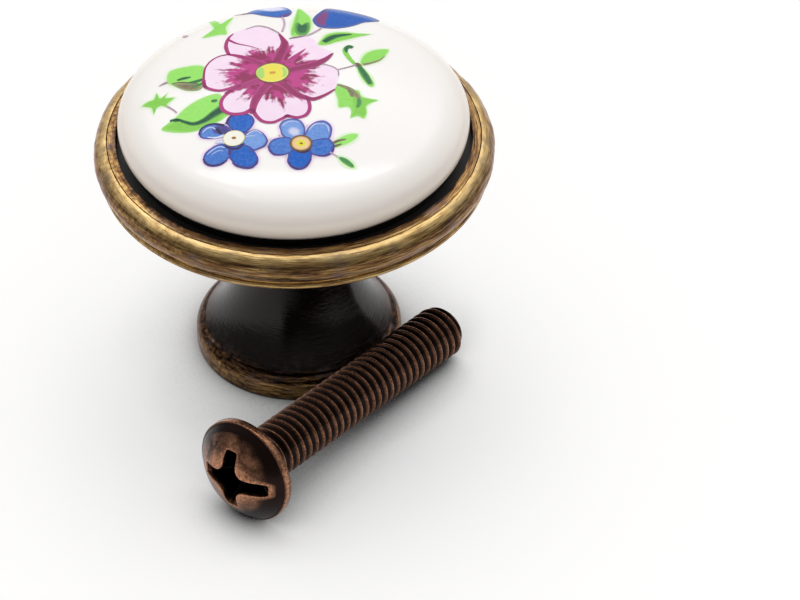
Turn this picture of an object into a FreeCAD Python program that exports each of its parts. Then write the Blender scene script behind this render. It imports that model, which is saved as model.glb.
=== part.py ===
import FreeCAD, Part
import math
import os

import Sketcher

# Cabinet knob with a glazed china insert, and its mounting screw, in millimetres.
# The origin is the centre of the foot's flat bottom, on the knob's axis, with +Z up.

doc = FreeCAD.newDocument("cabinet_knob")

# Driving dimensions: name, size and what it measures
driving_dimensions = [
    ("foot_radius", 7.47, "widest part of the foot"),
    ("foot_edge_round", 0.25, "rounding where the foot meets the door"),
    ("foot_band_height", 1.10, "top of the foot's upright edge"),
    ("foot_shoulder_inset", 0.67, "how far the foot's rounded shoulder comes in"),
    ("foot_shoulder_rise", 0.90, "how far the foot's rounded shoulder goes up"),
    ("foot_cove_rise", 5.40, "height of the hollow curve from foot to neck"),
    ("neck_radius", 4.60, "narrowest part of the stem"),
    ("neck_length", 1.40, "straight part of the stem"),
    ("cup_cove_reach", 2.90, "how far the hollow curve under the cup spreads"),
    ("cup_cove_rise", 3.75, "how far the hollow curve under the cup goes up"),
    ("saucer_rise", 3.26, "height of the full curve under the cup"),
    ("hem_overhang", 0.06, "how far the hem's section centre is inside the hem groove"),
    ("hem_height", 0.44, "height of the thin hem under the bead"),
    ("hem_radius", 0.24, "section radius of the hem"),
    ("hem_groove_inset", 0.60, "line between hem and bead, measured in from the rim"),
    ("hem_groove_width", 0.11, "width of the line between hem and bead"),
    ("bead_radius", 1.12, "section radius of the bead round the cup"),
    ("bead_lean", 0.16, "how far the bead's top starts outside its section centre"),
    ("ledge_width", 0.58, "flat ledge round the insert"),
    ("ledge_fall", 0.08, "outward fall of that ledge"),
    ("ledge_groove_width", 0.08, "width of the line between ledge and bead"),
    ("ledge_groove_depth", 0.13, "depth of the line between ledge and bead"),
    ("cup_depth", 1.66, "ledge to cup floor"),
    ("tap_drill_radius", 1.65, "drilled wall of the M4 tapped hole"),
    ("tapped_depth", 10.00, "straight wall of the tapped hole"),
    ("drill_point_angle", 118.0, "cone at the blind end of the hole"),
    ("insert_radius", 12.42, "girdle, the insert's widest part"),
    ("insert_clearance", 0.20, "girdle to cup wall, measured sideways"),
    ("insert_side_drop", 0.93, "height of the curved side below the girdle"),
    ("insert_side_inset", 0.32, "how far that side draws in"),
    ("insert_splay_rise", 0.67, "height of the splay from seat ring to side"),
    ("insert_ring_inset", 0.72, "girdle to seat ring, measured sideways"),
    ("insert_ring_height", 1.10, "upright wall of the seat ring"),
    ("insert_ring_round", 0.30, "rounding under the seat ring"),
    ("insert_ring_width", 2.80, "land that the insert stands on"),
    ("insert_hollow_depth", 0.80, "hollow in the insert's back"),
    ("insert_hollow_draft", 0.40, "spread of the hollow's wall"),
    ("insert_shoulder_radius", 1.50, "rounding between side and crown"),
    ("insert_crown_rise", 2.90, "crown above the girdle"),
    ("glue_thickness", 0.30, "adhesive under the seat ring"),
    ("glue_clearance", 0.05, "adhesive to cup wall"),
    ("glue_climb", 0.60, "adhesive squeezed up beside the seat ring"),
    ("glue_creep", 0.15, "extra climb of the adhesive against the ring"),
    ("screw_length", 22.00, "under side of the head to the tip"),
    ("screw_radius", 1.96, "over the crests of the M4 thread"),
    ("screw_tip_lead", 0.45, "chamfer at the tip"),
    ("thread_pitch", 0.70, "one turn of the M4 thread"),
    ("thread_angle", 60.0, "between the thread's flanks, in degrees"),
    ("thread_plain", 0.60, "head to the end of the thread's groove"),
    ("thread_run_in", 0.886, "start of the groove, beyond the tip"),
    ("head_radius", 3.87, "pan head"),
    ("head_band_height", 0.50, "upright edge of the pan head"),
    ("head_crown_rise", 1.90, "crown of the pan head above its edge"),
    ("recess_reach", 2.41, "axis to the end of a wing of the cross recess"),
    ("recess_foot_reach", 1.20, "the same at the recess's bottom"),
    ("recess_wing_width", 1.05, "width of a wing"),
    ("recess_depth", 1.90, "cross recess, measured from the crown"),
    ("recess_core_radius", 1.05, "round middle of the recess at the crown"),
    ("recess_core_foot", 0.60, "the same at the recess's bottom"),
    ("recess_turn", 3.30, "turn of the cross recess in degrees"),
    ("screw_heading", 49.10, "head to tip, in degrees from +X"),
    ("screw_tuck", 0.06, "how far the lying screw reaches over the foot's edge"),
    ("screw_reach", 16.50, "head to the point of the screw nearest the foot"),
]

# Sizes that follow from the driving ones
worked_out_dimensions = [
    ("foot_land_radius", "foot_radius - foot_edge_round"),
    ("foot_crease_radius", "foot_radius - foot_shoulder_inset"),
    ("foot_crease_height", "foot_band_height + foot_shoulder_rise"),
    ("foot_shoulder_radius",
     "(foot_shoulder_inset^2 + foot_shoulder_rise^2) / (2 * foot_shoulder_inset)"),
    ("foot_cove_inset", "foot_crease_radius - neck_radius"),
    ("foot_cove_radius", "(foot_cove_inset^2 + foot_cove_rise^2) / (2 * foot_cove_inset)"),
    ("neck_foot_height", "foot_crease_height + foot_cove_rise"),
    ("neck_top_height", "neck_foot_height + neck_length"),
    ("cup_cove_radius", "(cup_cove_reach^2 + cup_cove_rise^2) / (2 * cup_cove_reach)"),
    ("saucer_foot_radius", "neck_radius + cup_cove_reach"),
    ("saucer_foot_height", "neck_top_height + cup_cove_rise"),
    ("cup_bore_radius", "insert_radius + insert_clearance"),
    ("ledge_rim_radius", "cup_bore_radius + ledge_width"),
    ("ledge_groove_radius", "ledge_rim_radius + ledge_groove_width / 2"),
    ("bead_top_radius", "ledge_rim_radius + ledge_groove_width"),
    ("bead_middle_radius", "bead_top_radius - bead_lean"),
    ("rim_radius", "bead_middle_radius + bead_radius"),
    ("hem_groove_radius", "rim_radius - hem_groove_inset"),
    ("hem_middle_radius", "hem_groove_radius - hem_overhang"),
    ("hem_foot_radius", "hem_middle_radius + hem_radius / 2"),
    ("hem_foot_height", "saucer_foot_height + saucer_rise"),
    ("hem_top_height", "hem_foot_height + hem_height"),
    ("saucer_reach", "hem_foot_radius - saucer_foot_radius"),
    ("saucer_bend",
     "2 * atan(cup_cove_reach / cup_cove_rise) - atan(saucer_reach / saucer_rise)"),
    ("saucer_radius", "sqrt(saucer_reach^2 + saucer_rise^2) / (2 * sin(saucer_bend))"),
    ("bead_foot_height", "hem_top_height + hem_groove_width"),
    ("bead_middle_height",
     "bead_foot_height + sqrt(bead_radius^2 - (hem_groove_radius - bead_middle_radius)^2)"),
    ("bead_top_height", "bead_middle_height + sqrt(bead_radius^2 - bead_lean^2)"),
    ("ledge_groove_height", "bead_top_height - ledge_groove_depth"),
    ("ledge_inner_height", "bead_top_height + ledge_fall"),
    ("cup_floor_height", "ledge_inner_height - cup_depth"),
    ("hole_end_height", "tapped_depth + tap_drill_radius / tan(drill_point_angle * 1deg / 2)"),
    ("insert_seat_height", "cup_floor_height + glue_thickness"),
    ("insert_ring_radius", "insert_radius - insert_ring_inset"),
    ("insert_land_radius", "insert_ring_radius - insert_ring_round"),
    ("insert_land_height", "insert_seat_height + insert_ring_round"),
    ("insert_hollow_radius", "insert_ring_radius - insert_ring_width"),
    ("insert_hollow_top_radius", "insert_hollow_radius - insert_hollow_draft"),
    ("insert_hollow_height", "insert_seat_height + insert_hollow_depth"),
    ("insert_ring_top_height", "insert_seat_height + insert_ring_height"),
    ("insert_side_foot_radius", "insert_radius - insert_side_inset"),
    ("insert_side_foot_height", "insert_ring_top_height + insert_splay_rise"),
    ("insert_side_radius",
     "(insert_side_inset^2 + insert_side_drop^2) / (2 * insert_side_inset)"),
    ("insert_girdle_height", "insert_side_foot_height + insert_side_drop"),
    ("insert_top_height", "insert_girdle_height + insert_crown_rise"),
    ("shoulder_middle_radius", "insert_radius - insert_shoulder_radius"),
    ("crown_radius",
     "(shoulder_middle_radius^2 + insert_crown_rise^2 - insert_shoulder_radius^2)"
     " / (2 * (insert_crown_rise - insert_shoulder_radius))"),
    ("shoulder_share", "insert_shoulder_radius / (crown_radius - insert_shoulder_radius)"),
    ("shoulder_top_radius", "shoulder_middle_radius * (1 + shoulder_share)"),
    ("shoulder_top_height",
     "insert_girdle_height + (crown_radius - insert_crown_rise) * shoulder_share"),
    ("glue_radius", "cup_bore_radius - glue_clearance"),
    ("glue_wall_height", "insert_seat_height + glue_climb"),
    ("glue_ring_height", "glue_wall_height + glue_creep"),
    ("screw_tip_radius", "screw_radius - screw_tip_lead"),
    ("screw_lead_height", "screw_tip_lead - screw_length"),
    ("screw_tip_height", "0 - screw_length"),
    ("thread_crest_flat", "thread_pitch / 8"),
    ("thread_root_flat", "thread_pitch / 4"),
    ("thread_half_angle", "thread_angle * 1deg / 2"),
    ("thread_depth",
     "(thread_pitch - thread_crest_flat - thread_root_flat) / 2 / tan(thread_half_angle)"),
    ("thread_root_radius", "screw_radius - thread_depth"),
    ("thread_mouth_radius", "screw_radius + thread_crest_flat / 2"),
    ("thread_flank",
     "(thread_mouth_radius - thread_root_radius) * tan(thread_half_angle)"),
    ("thread_start_height", "screw_tip_height - thread_run_in"),
    ("thread_root_foot", "thread_start_height - thread_root_flat / 2"),
    ("thread_root_top", "thread_start_height + thread_root_flat / 2"),
    ("thread_mouth_foot", "thread_root_foot - thread_flank"),
    ("thread_mouth_top", "thread_root_top + thread_flank"),
    ("thread_length", "screw_length + thread_run_in - thread_plain"),
    ("head_height", "head_band_height + head_crown_rise"),
    ("head_crown_radius", "(head_radius^2 + head_crown_rise^2) / (2 * head_crown_rise)"),
    ("recess_foot_height", "head_height - recess_depth"),
    ("recess_open_height", "head_height + head_band_height"),
    ("screw_offset", "foot_radius + screw_radius - screw_tuck"),
    ("screw_rest_x",
     "screw_offset * sin(screw_heading * 1deg) - screw_reach * cos(screw_heading * 1deg)"),
    ("screw_rest_y",
     "0 - screw_offset * cos(screw_heading * 1deg) - screw_reach * sin(screw_heading * 1deg)"),
]

sizes = doc.addObject("Spreadsheet::Sheet", "sizes")


def write_cell(row, name, content, note):
    sheet_row = str(row)
    sizes.set("A" + sheet_row, name)
    sizes.set("B" + sheet_row, content)
    sizes.set("C" + sheet_row, note)
    sizes.setAlias("B" + sheet_row, name)


row_number = 1
for name, number, note in driving_dimensions:
    write_cell(row_number, name, str(number), note)
    row_number += 1
for name, formula in worked_out_dimensions:
    write_cell(row_number, name, "=" + formula, "worked out")
    row_number += 1
doc.recompute()


def size(name):
    """Number in the cell with this name."""
    number = sizes.get(name)
    return float(getattr(number, "Value", number))


def new_body(label):
    body = doc.addObject("PartDesign::Body", label)
    body.Label = label
    return body


def origin_plane(body, role):
    return next(item for item in body.Origin.OriginFeatures if item.Role == role)


def new_sketch(body, name, role):
    sketch = body.newObject("Sketcher::SketchObject", name)
    sketch.AttachmentSupport = [(origin_plane(body, role), "")]
    sketch.MapMode = "FlatFace"
    return sketch


def pin(sketch, edge, end, kind, name, axis):
    """Tie one coordinate of a corner to a cell, or to an axis where it is zero."""
    if name == 0:
        sketch.addConstraint(Sketcher.Constraint("PointOnObject", edge, end, axis))
    else:
        index = sketch.addConstraint(Sketcher.Constraint(kind, -1, 1, edge, end, size(name)))
        sketch.setExpression("Constraints[%d]" % index, "sizes." + name)


def arc_between(start, finish, radius, bulge):
    """Arc of this radius that bulges to the left of its path (1) or to the right (-1)."""
    chord = finish - start
    across = FreeCAD.Vector(-chord.y, chord.x, 0)
    across.normalize()
    middle = (start + finish) / 2
    sagitta = radius - math.sqrt(max(radius ** 2 - (chord.Length / 2) ** 2, 0))
    return Part.Arc(start, middle + across * (bulge * sagitta), finish)


same_point = 1e-6


def draw_outline(sketch, corners):
    """Closed outline. A corner is (across, up) and, where an arc leaves it, (radius, bulge)."""
    places = [FreeCAD.Vector(size(c[0]) if c[0] else 0, size(c[1]) if c[1] else 0, 0)
              for c in corners]
    ends = []
    for index, corner in enumerate(corners):
        start = places[index]
        finish = places[(index + 1) % len(corners)]
        if len(corner) == 2:
            edge = sketch.addGeometry(Part.LineSegment(start, finish))
            ends.append((edge, 1, 2))
            continue
        radius, bulge = corner[2]
        edge = sketch.addGeometry(arc_between(start, finish, size(radius), bulge))
        circle_constraint = sketch.addConstraint(
            Sketcher.Constraint("Radius", edge, size(radius)))
        sketch.setExpression("Constraints[%d]" % circle_constraint, "sizes." + radius)
        runs_forward = sketch.getPoint(edge, 1).distanceToPoint(start) < same_point
        ends.append((edge, 1, 2) if runs_forward else (edge, 2, 1))
    for index, (edge, first, last) in enumerate(ends):
        next_edge, next_first, next_last = ends[(index + 1) % len(ends)]
        sketch.addConstraint(
            Sketcher.Constraint("Coincident", edge, last, next_edge, next_first))
        pin(sketch, edge, first, "DistanceX", corners[index][0], -2)
        pin(sketch, edge, first, "DistanceY", corners[index][1], -1)


def turn(body, kind, name, corners):
    """Revolve an outline, given as radius and height, round the body's Z axis."""
    sketch = new_sketch(body, name + "_outline", "XZ_Plane")
    draw_outline(sketch, corners)
    feature = body.newObject(kind, name)
    feature.Profile = sketch
    feature.ReferenceAxis = (sketch, ["V_Axis"])
    feature.Angle = 360
    sketch.Visibility = False
    doc.recompute()
    return feature


# Knob body: one casting, with foot, neck, saucer-shaped cup and the bead round it.
# The cup takes the insert, and the foot has a blind hole tapped for the screw.
knob_body = new_body("knob_body")
turn(knob_body, "PartDesign::Revolution", "casting", [
    (0, 0),
    ("foot_land_radius", 0, ("foot_edge_round", -1)),
    ("foot_radius", "foot_edge_round"),
    ("foot_radius", "foot_band_height", ("foot_shoulder_radius", -1)),
    ("foot_crease_radius", "foot_crease_height", ("foot_cove_radius", 1)),
    ("neck_radius", "neck_foot_height"),
    ("neck_radius", "neck_top_height", ("cup_cove_radius", 1)),
    ("saucer_foot_radius", "saucer_foot_height", ("saucer_radius", -1)),
    ("hem_foot_radius", "hem_foot_height", ("hem_radius", -1)),
    ("hem_groove_radius", "hem_top_height"),
    ("hem_groove_radius", "bead_foot_height", ("bead_radius", -1)),
    ("bead_top_radius", "bead_top_height"),
    ("ledge_groove_radius", "ledge_groove_height"),
    ("ledge_rim_radius", "bead_top_height"),
    ("cup_bore_radius", "ledge_inner_height"),
    ("cup_bore_radius", "cup_floor_height"),
    (0, "cup_floor_height"),
])
turn(knob_body, "PartDesign::Groove", "tapped_hole", [
    (0, 0),
    ("tap_drill_radius", 0),
    ("tap_drill_radius", "tapped_depth"),
    (0, "hole_end_height"),
])

# Adhesive bed: dark adhesive under the insert, squeezed up beside its seat ring and
# into the hollow in its back.
adhesive_bed = new_body("adhesive_bed")
turn(adhesive_bed, "PartDesign::Revolution", "bed", [
    (0, "cup_floor_height"),
    ("glue_radius", "cup_floor_height"),
    ("glue_radius", "glue_wall_height"),
    ("insert_ring_radius", "glue_ring_height"),
    ("insert_ring_radius", "insert_land_height", ("insert_ring_round", 1)),
    ("insert_land_radius", "insert_seat_height"),
    ("insert_hollow_radius", "insert_seat_height"),
    ("insert_hollow_top_radius", "insert_hollow_height"),
    (0, "insert_hollow_height"),
])

# Ceramic insert: a pressed and glazed china button with a hollow back. It stands on
# a ring, draws in under its girdle and has a low crown.
ceramic_insert = new_body("ceramic_insert")
turn(ceramic_insert, "PartDesign::Revolution", "button", [
    (0, "insert_hollow_height"),
    ("insert_hollow_top_radius", "insert_hollow_height"),
    ("insert_hollow_radius", "insert_seat_height"),
    ("insert_land_radius", "insert_seat_height", ("insert_ring_round", -1)),
    ("insert_ring_radius", "insert_land_height"),
    ("insert_ring_radius", "insert_ring_top_height"),
    ("insert_side_foot_radius", "insert_side_foot_height", ("insert_side_radius", -1)),
    ("insert_radius", "insert_girdle_height", ("insert_shoulder_radius", -1)),
    ("shoulder_top_radius", "shoulder_top_height", ("crown_radius", -1)),
    (0, "insert_top_height"),
])

# Mounting screw: an M4 pan head screw, drawn upright with the head's under side at
# zero, and then laid on the floor in front of the foot. It rests on head and tip.
# Its right-hand thread is a groove cut up the shank, from beyond the tip to the head.
mounting_screw = new_body("mounting_screw")
turn(mounting_screw, "PartDesign::Revolution", "blank", [
    (0, "screw_tip_height"),
    ("screw_tip_radius", "screw_tip_height"),
    ("screw_radius", "screw_lead_height"),
    ("screw_radius", 0),
    ("head_radius", 0),
    ("head_radius", "head_band_height", ("head_crown_radius", -1)),
    (0, "head_height"),
])

thread_sketch = new_sketch(mounting_screw, "thread_outline", "XZ_Plane")
draw_outline(thread_sketch, [
    ("thread_root_radius", "thread_root_foot"),
    ("thread_mouth_radius", "thread_mouth_foot"),
    ("thread_mouth_radius", "thread_mouth_top"),
    ("thread_root_radius", "thread_root_top"),
])
thread = mounting_screw.newObject("PartDesign::SubtractiveHelix", "thread")
thread.Profile = thread_sketch
thread.ReferenceAxis = (thread_sketch, ["V_Axis"])
thread.Mode = "pitch-height-angle"
thread.setExpression("Pitch", "sizes.thread_pitch")
thread.setExpression("Height", "sizes.thread_length")
doc.recompute()

turn(mounting_screw, "PartDesign::Groove", "recess_core", [
    (0, "recess_foot_height"),
    ("recess_core_foot", "recess_foot_height"),
    ("recess_core_radius", "head_height"),
    ("recess_core_radius", "recess_open_height"),
    (0, "recess_open_height"),
])

wing_sketch = new_sketch(mounting_screw, "recess_wing_outline", "XZ_Plane")
draw_outline(wing_sketch, [
    (0, "recess_foot_height"),
    ("recess_foot_reach", "recess_foot_height"),
    ("recess_reach", "head_height"),
    ("recess_reach", "recess_open_height"),
    (0, "recess_open_height"),
])
recess_wing = mounting_screw.newObject("PartDesign::Pocket", "recess_wing")
recess_wing.Profile = wing_sketch
recess_wing.Midplane = True
recess_wing.setExpression("Length", "sizes.recess_wing_width")
doc.recompute()

recess_wings = mounting_screw.newObject("PartDesign::PolarPattern", "recess_wings")
recess_wings.Originals = [recess_wing]
recess_wings.Axis = (wing_sketch, ["V_Axis"])
recess_wings.Angle = 360
recess_wings.Occurrences = 4
mounting_screw.Tip = recess_wings
doc.recompute()

screw_span = size("screw_length") - size("screw_tip_lead")
screw_tilt = math.degrees(math.atan((size("head_radius") - size("screw_radius")) / screw_span))
rest_height = size("head_radius") * math.cos(math.radians(screw_tilt))
turn_recess = FreeCAD.Rotation(FreeCAD.Vector(0, 0, 1), size("recess_turn"))
lay_down = FreeCAD.Rotation(FreeCAD.Vector(0, 1, 0), -(90 - screw_tilt))
face_heading = FreeCAD.Rotation(FreeCAD.Vector(0, 0, 1), size("screw_heading"))
mounting_screw.Placement = FreeCAD.Placement(
    FreeCAD.Vector(size("screw_rest_x"), size("screw_rest_y"), rest_height),
    face_heading * lay_down * turn_recess,
)
doc.recompute()

# Every object is checked before anything is written
for item in doc.Objects:
    if "Invalid" in item.State or "Error" in item.State:
        raise RuntimeError(item.Name + " could not be built")

pieces = [knob_body, adhesive_bed, ceramic_insert, mounting_screw]
for piece in pieces:
    if piece.Shape.isNull() or not piece.Shape.isValid() or len(piece.Shape.Solids) != 1:
        raise RuntimeError(piece.Label + " is not one sound solid")

os.makedirs("parts", exist_ok=True)
for piece in pieces:
    piece.Shape.exportStep(os.path.join("parts", piece.Label + ".step"))
    corner = piece.Shape.optimalBoundingBox()
    print("%-16s %9.2f mm3  x %.2f..%.2f  y %.2f..%.2f  z %.2f..%.2f" % (
        piece.Label, piece.Shape.Volume, corner.XMin, corner.XMax,
        corner.YMin, corner.YMax, corner.ZMin, corner.ZMax))
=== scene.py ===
import math

import bmesh
import bpy
from mathutils import Matrix, Vector, noise


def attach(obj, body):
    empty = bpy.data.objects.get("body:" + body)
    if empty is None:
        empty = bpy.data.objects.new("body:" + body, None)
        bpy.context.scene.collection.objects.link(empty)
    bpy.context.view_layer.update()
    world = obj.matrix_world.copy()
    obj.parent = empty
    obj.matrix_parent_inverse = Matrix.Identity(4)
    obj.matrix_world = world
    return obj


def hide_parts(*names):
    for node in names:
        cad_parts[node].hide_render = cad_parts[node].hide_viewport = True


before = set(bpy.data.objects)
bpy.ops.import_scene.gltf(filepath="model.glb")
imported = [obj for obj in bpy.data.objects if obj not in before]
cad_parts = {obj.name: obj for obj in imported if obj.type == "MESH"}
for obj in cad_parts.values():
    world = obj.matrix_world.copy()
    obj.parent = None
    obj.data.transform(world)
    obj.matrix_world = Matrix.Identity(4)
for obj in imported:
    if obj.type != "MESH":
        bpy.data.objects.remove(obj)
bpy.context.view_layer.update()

# The whole knob is drawn in millimetres and brought to metres at the end of each piece.
mm = 0.001


# Knob body: foot, neck, saucer-shaped cup and the bead round it, one zinc alloy casting.
# It is turned smooth, plated with brass and darkened, and the dark skin is then rubbed
# back to the brass on the bead, the hem and the foot's edge.
foot_radius = 7.47
foot_edge_round = 0.25
foot_band_top = 1.10
foot_crease = (6.80, 2.00)
neck_radius = 4.60
neck_foot = 7.40
neck_top = 8.80
saucer_foot = (7.50, 12.55)
hem_foot = (13.70, 15.81)
hem_top = (13.64, 16.25)
bead_foot = (13.64, 16.36)
bead_top = (13.28, 18.46)
ledge_groove = (13.24, 18.33)
ledge_rim = (13.20, 18.46)
ledge_inner = (12.62, 18.54)
cup_floor = 16.88
hole_radius = 1.65
hole_end = (10.00, 10.99)
bead_centre = Vector((13.12, 17.352))


def arc_centre(start, end, radius, side):
    """Centre of the arc from start to end that bulges left of its way (1) or right (-1)."""
    half = (end - start) / 2
    across = Vector((-half.y, half.x)).normalized()
    return start + half - across * side * math.sqrt(max(radius ** 2 - half.length_squared, 0))


def lathe(outline, grain, around):
    """Turned piece. A corner is (radius, height), with (arc radius, side) after it where
    an arc leads up to it. Returns the mesh and how far along the outline each corner is."""
    bm = bmesh.new()
    along = bm.verts.layers.float.new("along")
    tip = bm.verts.new((outline[0][0], 0, outline[0][1]))
    stations = [0.0]
    for corner in outline[1:]:
        start = Vector((tip.co.x, tip.co.z))
        end = Vector(corner[:2])
        if len(corner) == 4:
            centre = arc_centre(start, end, corner[2], corner[3])
            bend = (start - centre).angle_signed(end - centre)
            reach = abs(bend) * corner[2]
            spun = bmesh.ops.spin(
                bm, geom=[tip], cent=(centre.x, 0, centre.y), axis=(0, 1, 0),
                angle=bend, steps=max(2, round(reach / grain)))
            tip = [v for v in spun["geom_last"] if isinstance(v, bmesh.types.BMVert)][0]
            tip.co = (end.x, 0, end.y)
        else:
            reach = (end - start).length
            steps = max(1, round(reach / (grain * 4)))
            for step in range(steps):
                tip = bmesh.ops.extrude_vert_indiv(bm, verts=[tip])["verts"][0]
                here = start.lerp(end, (step + 1) / steps)
                tip.co = (here.x, 0, here.y)
        stations.append(stations[-1] + reach)
    bm.verts.ensure_lookup_table()
    for before, after in zip(bm.verts[:-1], bm.verts[1:]):
        after[along] = before[along] + (after.co - before.co).length
    # One 32nd of the turn is spun, and then copied five times, twice as wide each time
    bmesh.ops.spin(bm, geom=bm.verts[:] + bm.edges[:], cent=(0, 0, 0), axis=(0, 0, 1),
                   angle=math.tau / 32, steps=around // 32)
    for doubling in range(5):
        copied = bmesh.ops.duplicate(bm, geom=bm.verts[:] + bm.edges[:] + bm.faces[:])["geom"]
        bmesh.ops.rotate(bm, verts=[v for v in copied if isinstance(v, bmesh.types.BMVert)],
                         matrix=Matrix.Rotation(math.tau / 32 * 2 ** doubling, 3, "Z"))
    bmesh.ops.remove_doubles(bm, verts=bm.verts, dist=1e-5)
    return bm, stations


def finish_mesh(bm, name, crisp=35):
    """Object from a mesh in millimetres: smooth, with the edges over this angle crisp."""
    bmesh.ops.recalc_face_normals(bm, faces=bm.faces)
    for face in bm.faces:
        face.smooth = True
    for edge in bm.edges:
        edge.smooth = edge.calc_face_angle(0) < math.radians(crisp)
    bmesh.ops.scale(bm, vec=(mm, mm, mm), verts=bm.verts)
    mesh = bpy.data.meshes.new(name)
    bm.to_mesh(mesh)
    bm.free()
    piece = bpy.data.objects.new(name, mesh)
    bpy.context.scene.collection.objects.link(piece)
    return piece


def add(tree, kind, inputs={}, **settings):
    """Add a node to a material, with its settings, its constants and its links."""
    made = tree.nodes.new(kind)
    for name, value in settings.items():
        setattr(made, name, value)
    for socket, value in inputs.items():
        if isinstance(value, bpy.types.NodeSocket):
            tree.links.new(value, made.inputs[socket])
        else:
            made.inputs[socket].default_value = value
    return made


def colour(code):
    """Linear colour of an sRGB hex code."""
    shares = [int(code[i:i + 2], 16) / 255 for i in (1, 3, 5)]
    return [s / 12.92 if s <= 0.04045 else ((s + 0.055) / 1.055) ** 2.4 for s in shares] + [1]


def set_ramp(ramp, stops):
    """Give a colour ramp these (place, hex colour or grey) stops."""
    while len(ramp.color_ramp.elements) > 1:
        ramp.color_ramp.elements.remove(ramp.color_ramp.elements[0])
    for index, (place, tone) in enumerate(stops):
        shade = colour(tone) if isinstance(tone, str) else (tone, tone, tone, 1)
        if index == 0:
            stop = ramp.color_ramp.elements[0]
            stop.position = place
        else:
            stop = ramp.color_ramp.elements.new(place)
        stop.color = shade


def new_material(name):
    """Empty node material and its tree, with the surface node in place."""
    material = bpy.data.materials.new(name)
    material.use_nodes = True
    return material, material.node_tree, material.node_tree.nodes["Principled BSDF"]


casting_mesh, station = lathe([
    (0, hole_end[1]),
    (hole_radius, hole_end[0]),
    (hole_radius, 0),
    (foot_radius - foot_edge_round, 0),
    (foot_radius, foot_edge_round, foot_edge_round, -1),
    (foot_radius, foot_band_top),
    (*foot_crease, 0.94, -1),
    (neck_radius, neck_foot, 7.727, 1),
    (neck_radius, neck_top),
    (*saucer_foot, 3.874, 1),
    (*hem_foot, 15.37, -1),
    (*hem_top, 0.24, -1),
    bead_foot,
    (*bead_top, 1.12, -1),
    ledge_groove,
    ledge_rim,
    ledge_inner,
    (ledge_inner[0], cup_floor),
    (0, cup_floor),
], grain=0.07, around=416)

# The bead is slightly uneven under its plating, always inwards of its true size.
lump_size = 1.3
lump_depth = 0.08
for vert in casting_mesh.verts:
    out = Vector((math.hypot(vert.co.x, vert.co.y), vert.co.z)) - bead_centre
    if out.length < 1.3 and vert.co.z > hem_foot[1]:
        lump = noise.noise(vert.co / lump_size) + 0.5 * noise.noise(vert.co / lump_size * 3)
        inward = max(0.0, lump_depth * (0.5 + 0.7 * lump))
        flat = Vector((vert.co.x, vert.co.y, 0)).normalized() * out.normalized().x
        vert.co -= (flat + Vector((0, 0, max(out.normalized().y, 0)))) * inward

casting = finish_mesh(casting_mesh, "knob_casting")

# Antique brass plate: brass under a glossy, nearly black skin. On the bead it is rubbed
# back in long streaks round the knob, and on its left in a sandy grain. The real grain
# is finer than 0.35 mm, which is the size that shows.
sand_grain = 0.35
brass, tree, surface = new_material("antique_brass_plate")
place = add(tree, "ShaderNodeTexCoord").outputs["Object"]
run = add(tree, "ShaderNodeAttribute", attribute_name="along").outputs["Fac"]
split = add(tree, "ShaderNodeSeparateXYZ", {"Vector": place})
flat = add(tree, "ShaderNodeCombineXYZ", {"X": split.outputs["X"], "Y": split.outputs["Y"]})
bearing = add(tree, "ShaderNodeVectorMath", {0: flat.outputs[0]}, operation="NORMALIZE")
turned = add(tree, "ShaderNodeSeparateXYZ", {"Vector": bearing.outputs[0]})
wrapped = add(tree, "ShaderNodeCombineXYZ", {
    "X": turned.outputs["X"], "Y": turned.outputs["Y"], "Z": run})


def streaks(around, across, detail, rough):
    """Noise drawn out round the knob: lumps per radius around, and per millimetre across."""
    drawn = add(tree, "ShaderNodeVectorMath", {0: wrapped.outputs[0], 1: (around, around, across)},
                operation="MULTIPLY")
    return add(tree, "ShaderNodeTexNoise", {
        "Vector": drawn.outputs[0], "Scale": 1.0, "Detail": detail, "Roughness": rough}).outputs[0]


long_noise = streaks(4.5, 4.0, 4.0, 0.6)
fine_noise = streaks(9.0, 11.0, 3.0, 0.6)
cloud_noise = streaks(7.0, 0.7, 3.0, 0.55)
sand_noise = add(tree, "ShaderNodeTexNoise", {
    "Vector": place, "Scale": 1 / (sand_grain * mm), "Detail": 3.0, "Roughness": 0.6}).outputs[0]
on_left = add(tree, "ShaderNodeMapRange", {
    "Value": turned.outputs["X"], "From Min": -0.3, "From Max": -0.75},
    interpolation_type="SMOOTHSTEP")
streaked = add(tree, "ShaderNodeMix", {0: 0.5, 2: long_noise, 3: fine_noise})
sanded = add(tree, "ShaderNodeMix", {0: 0.4, 2: streaked.outputs[0], 3: sand_noise})
worked = add(tree, "ShaderNodeMix", {
    0: on_left.outputs[0], 2: streaked.outputs[0], 3: sanded.outputs[0]})

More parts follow.
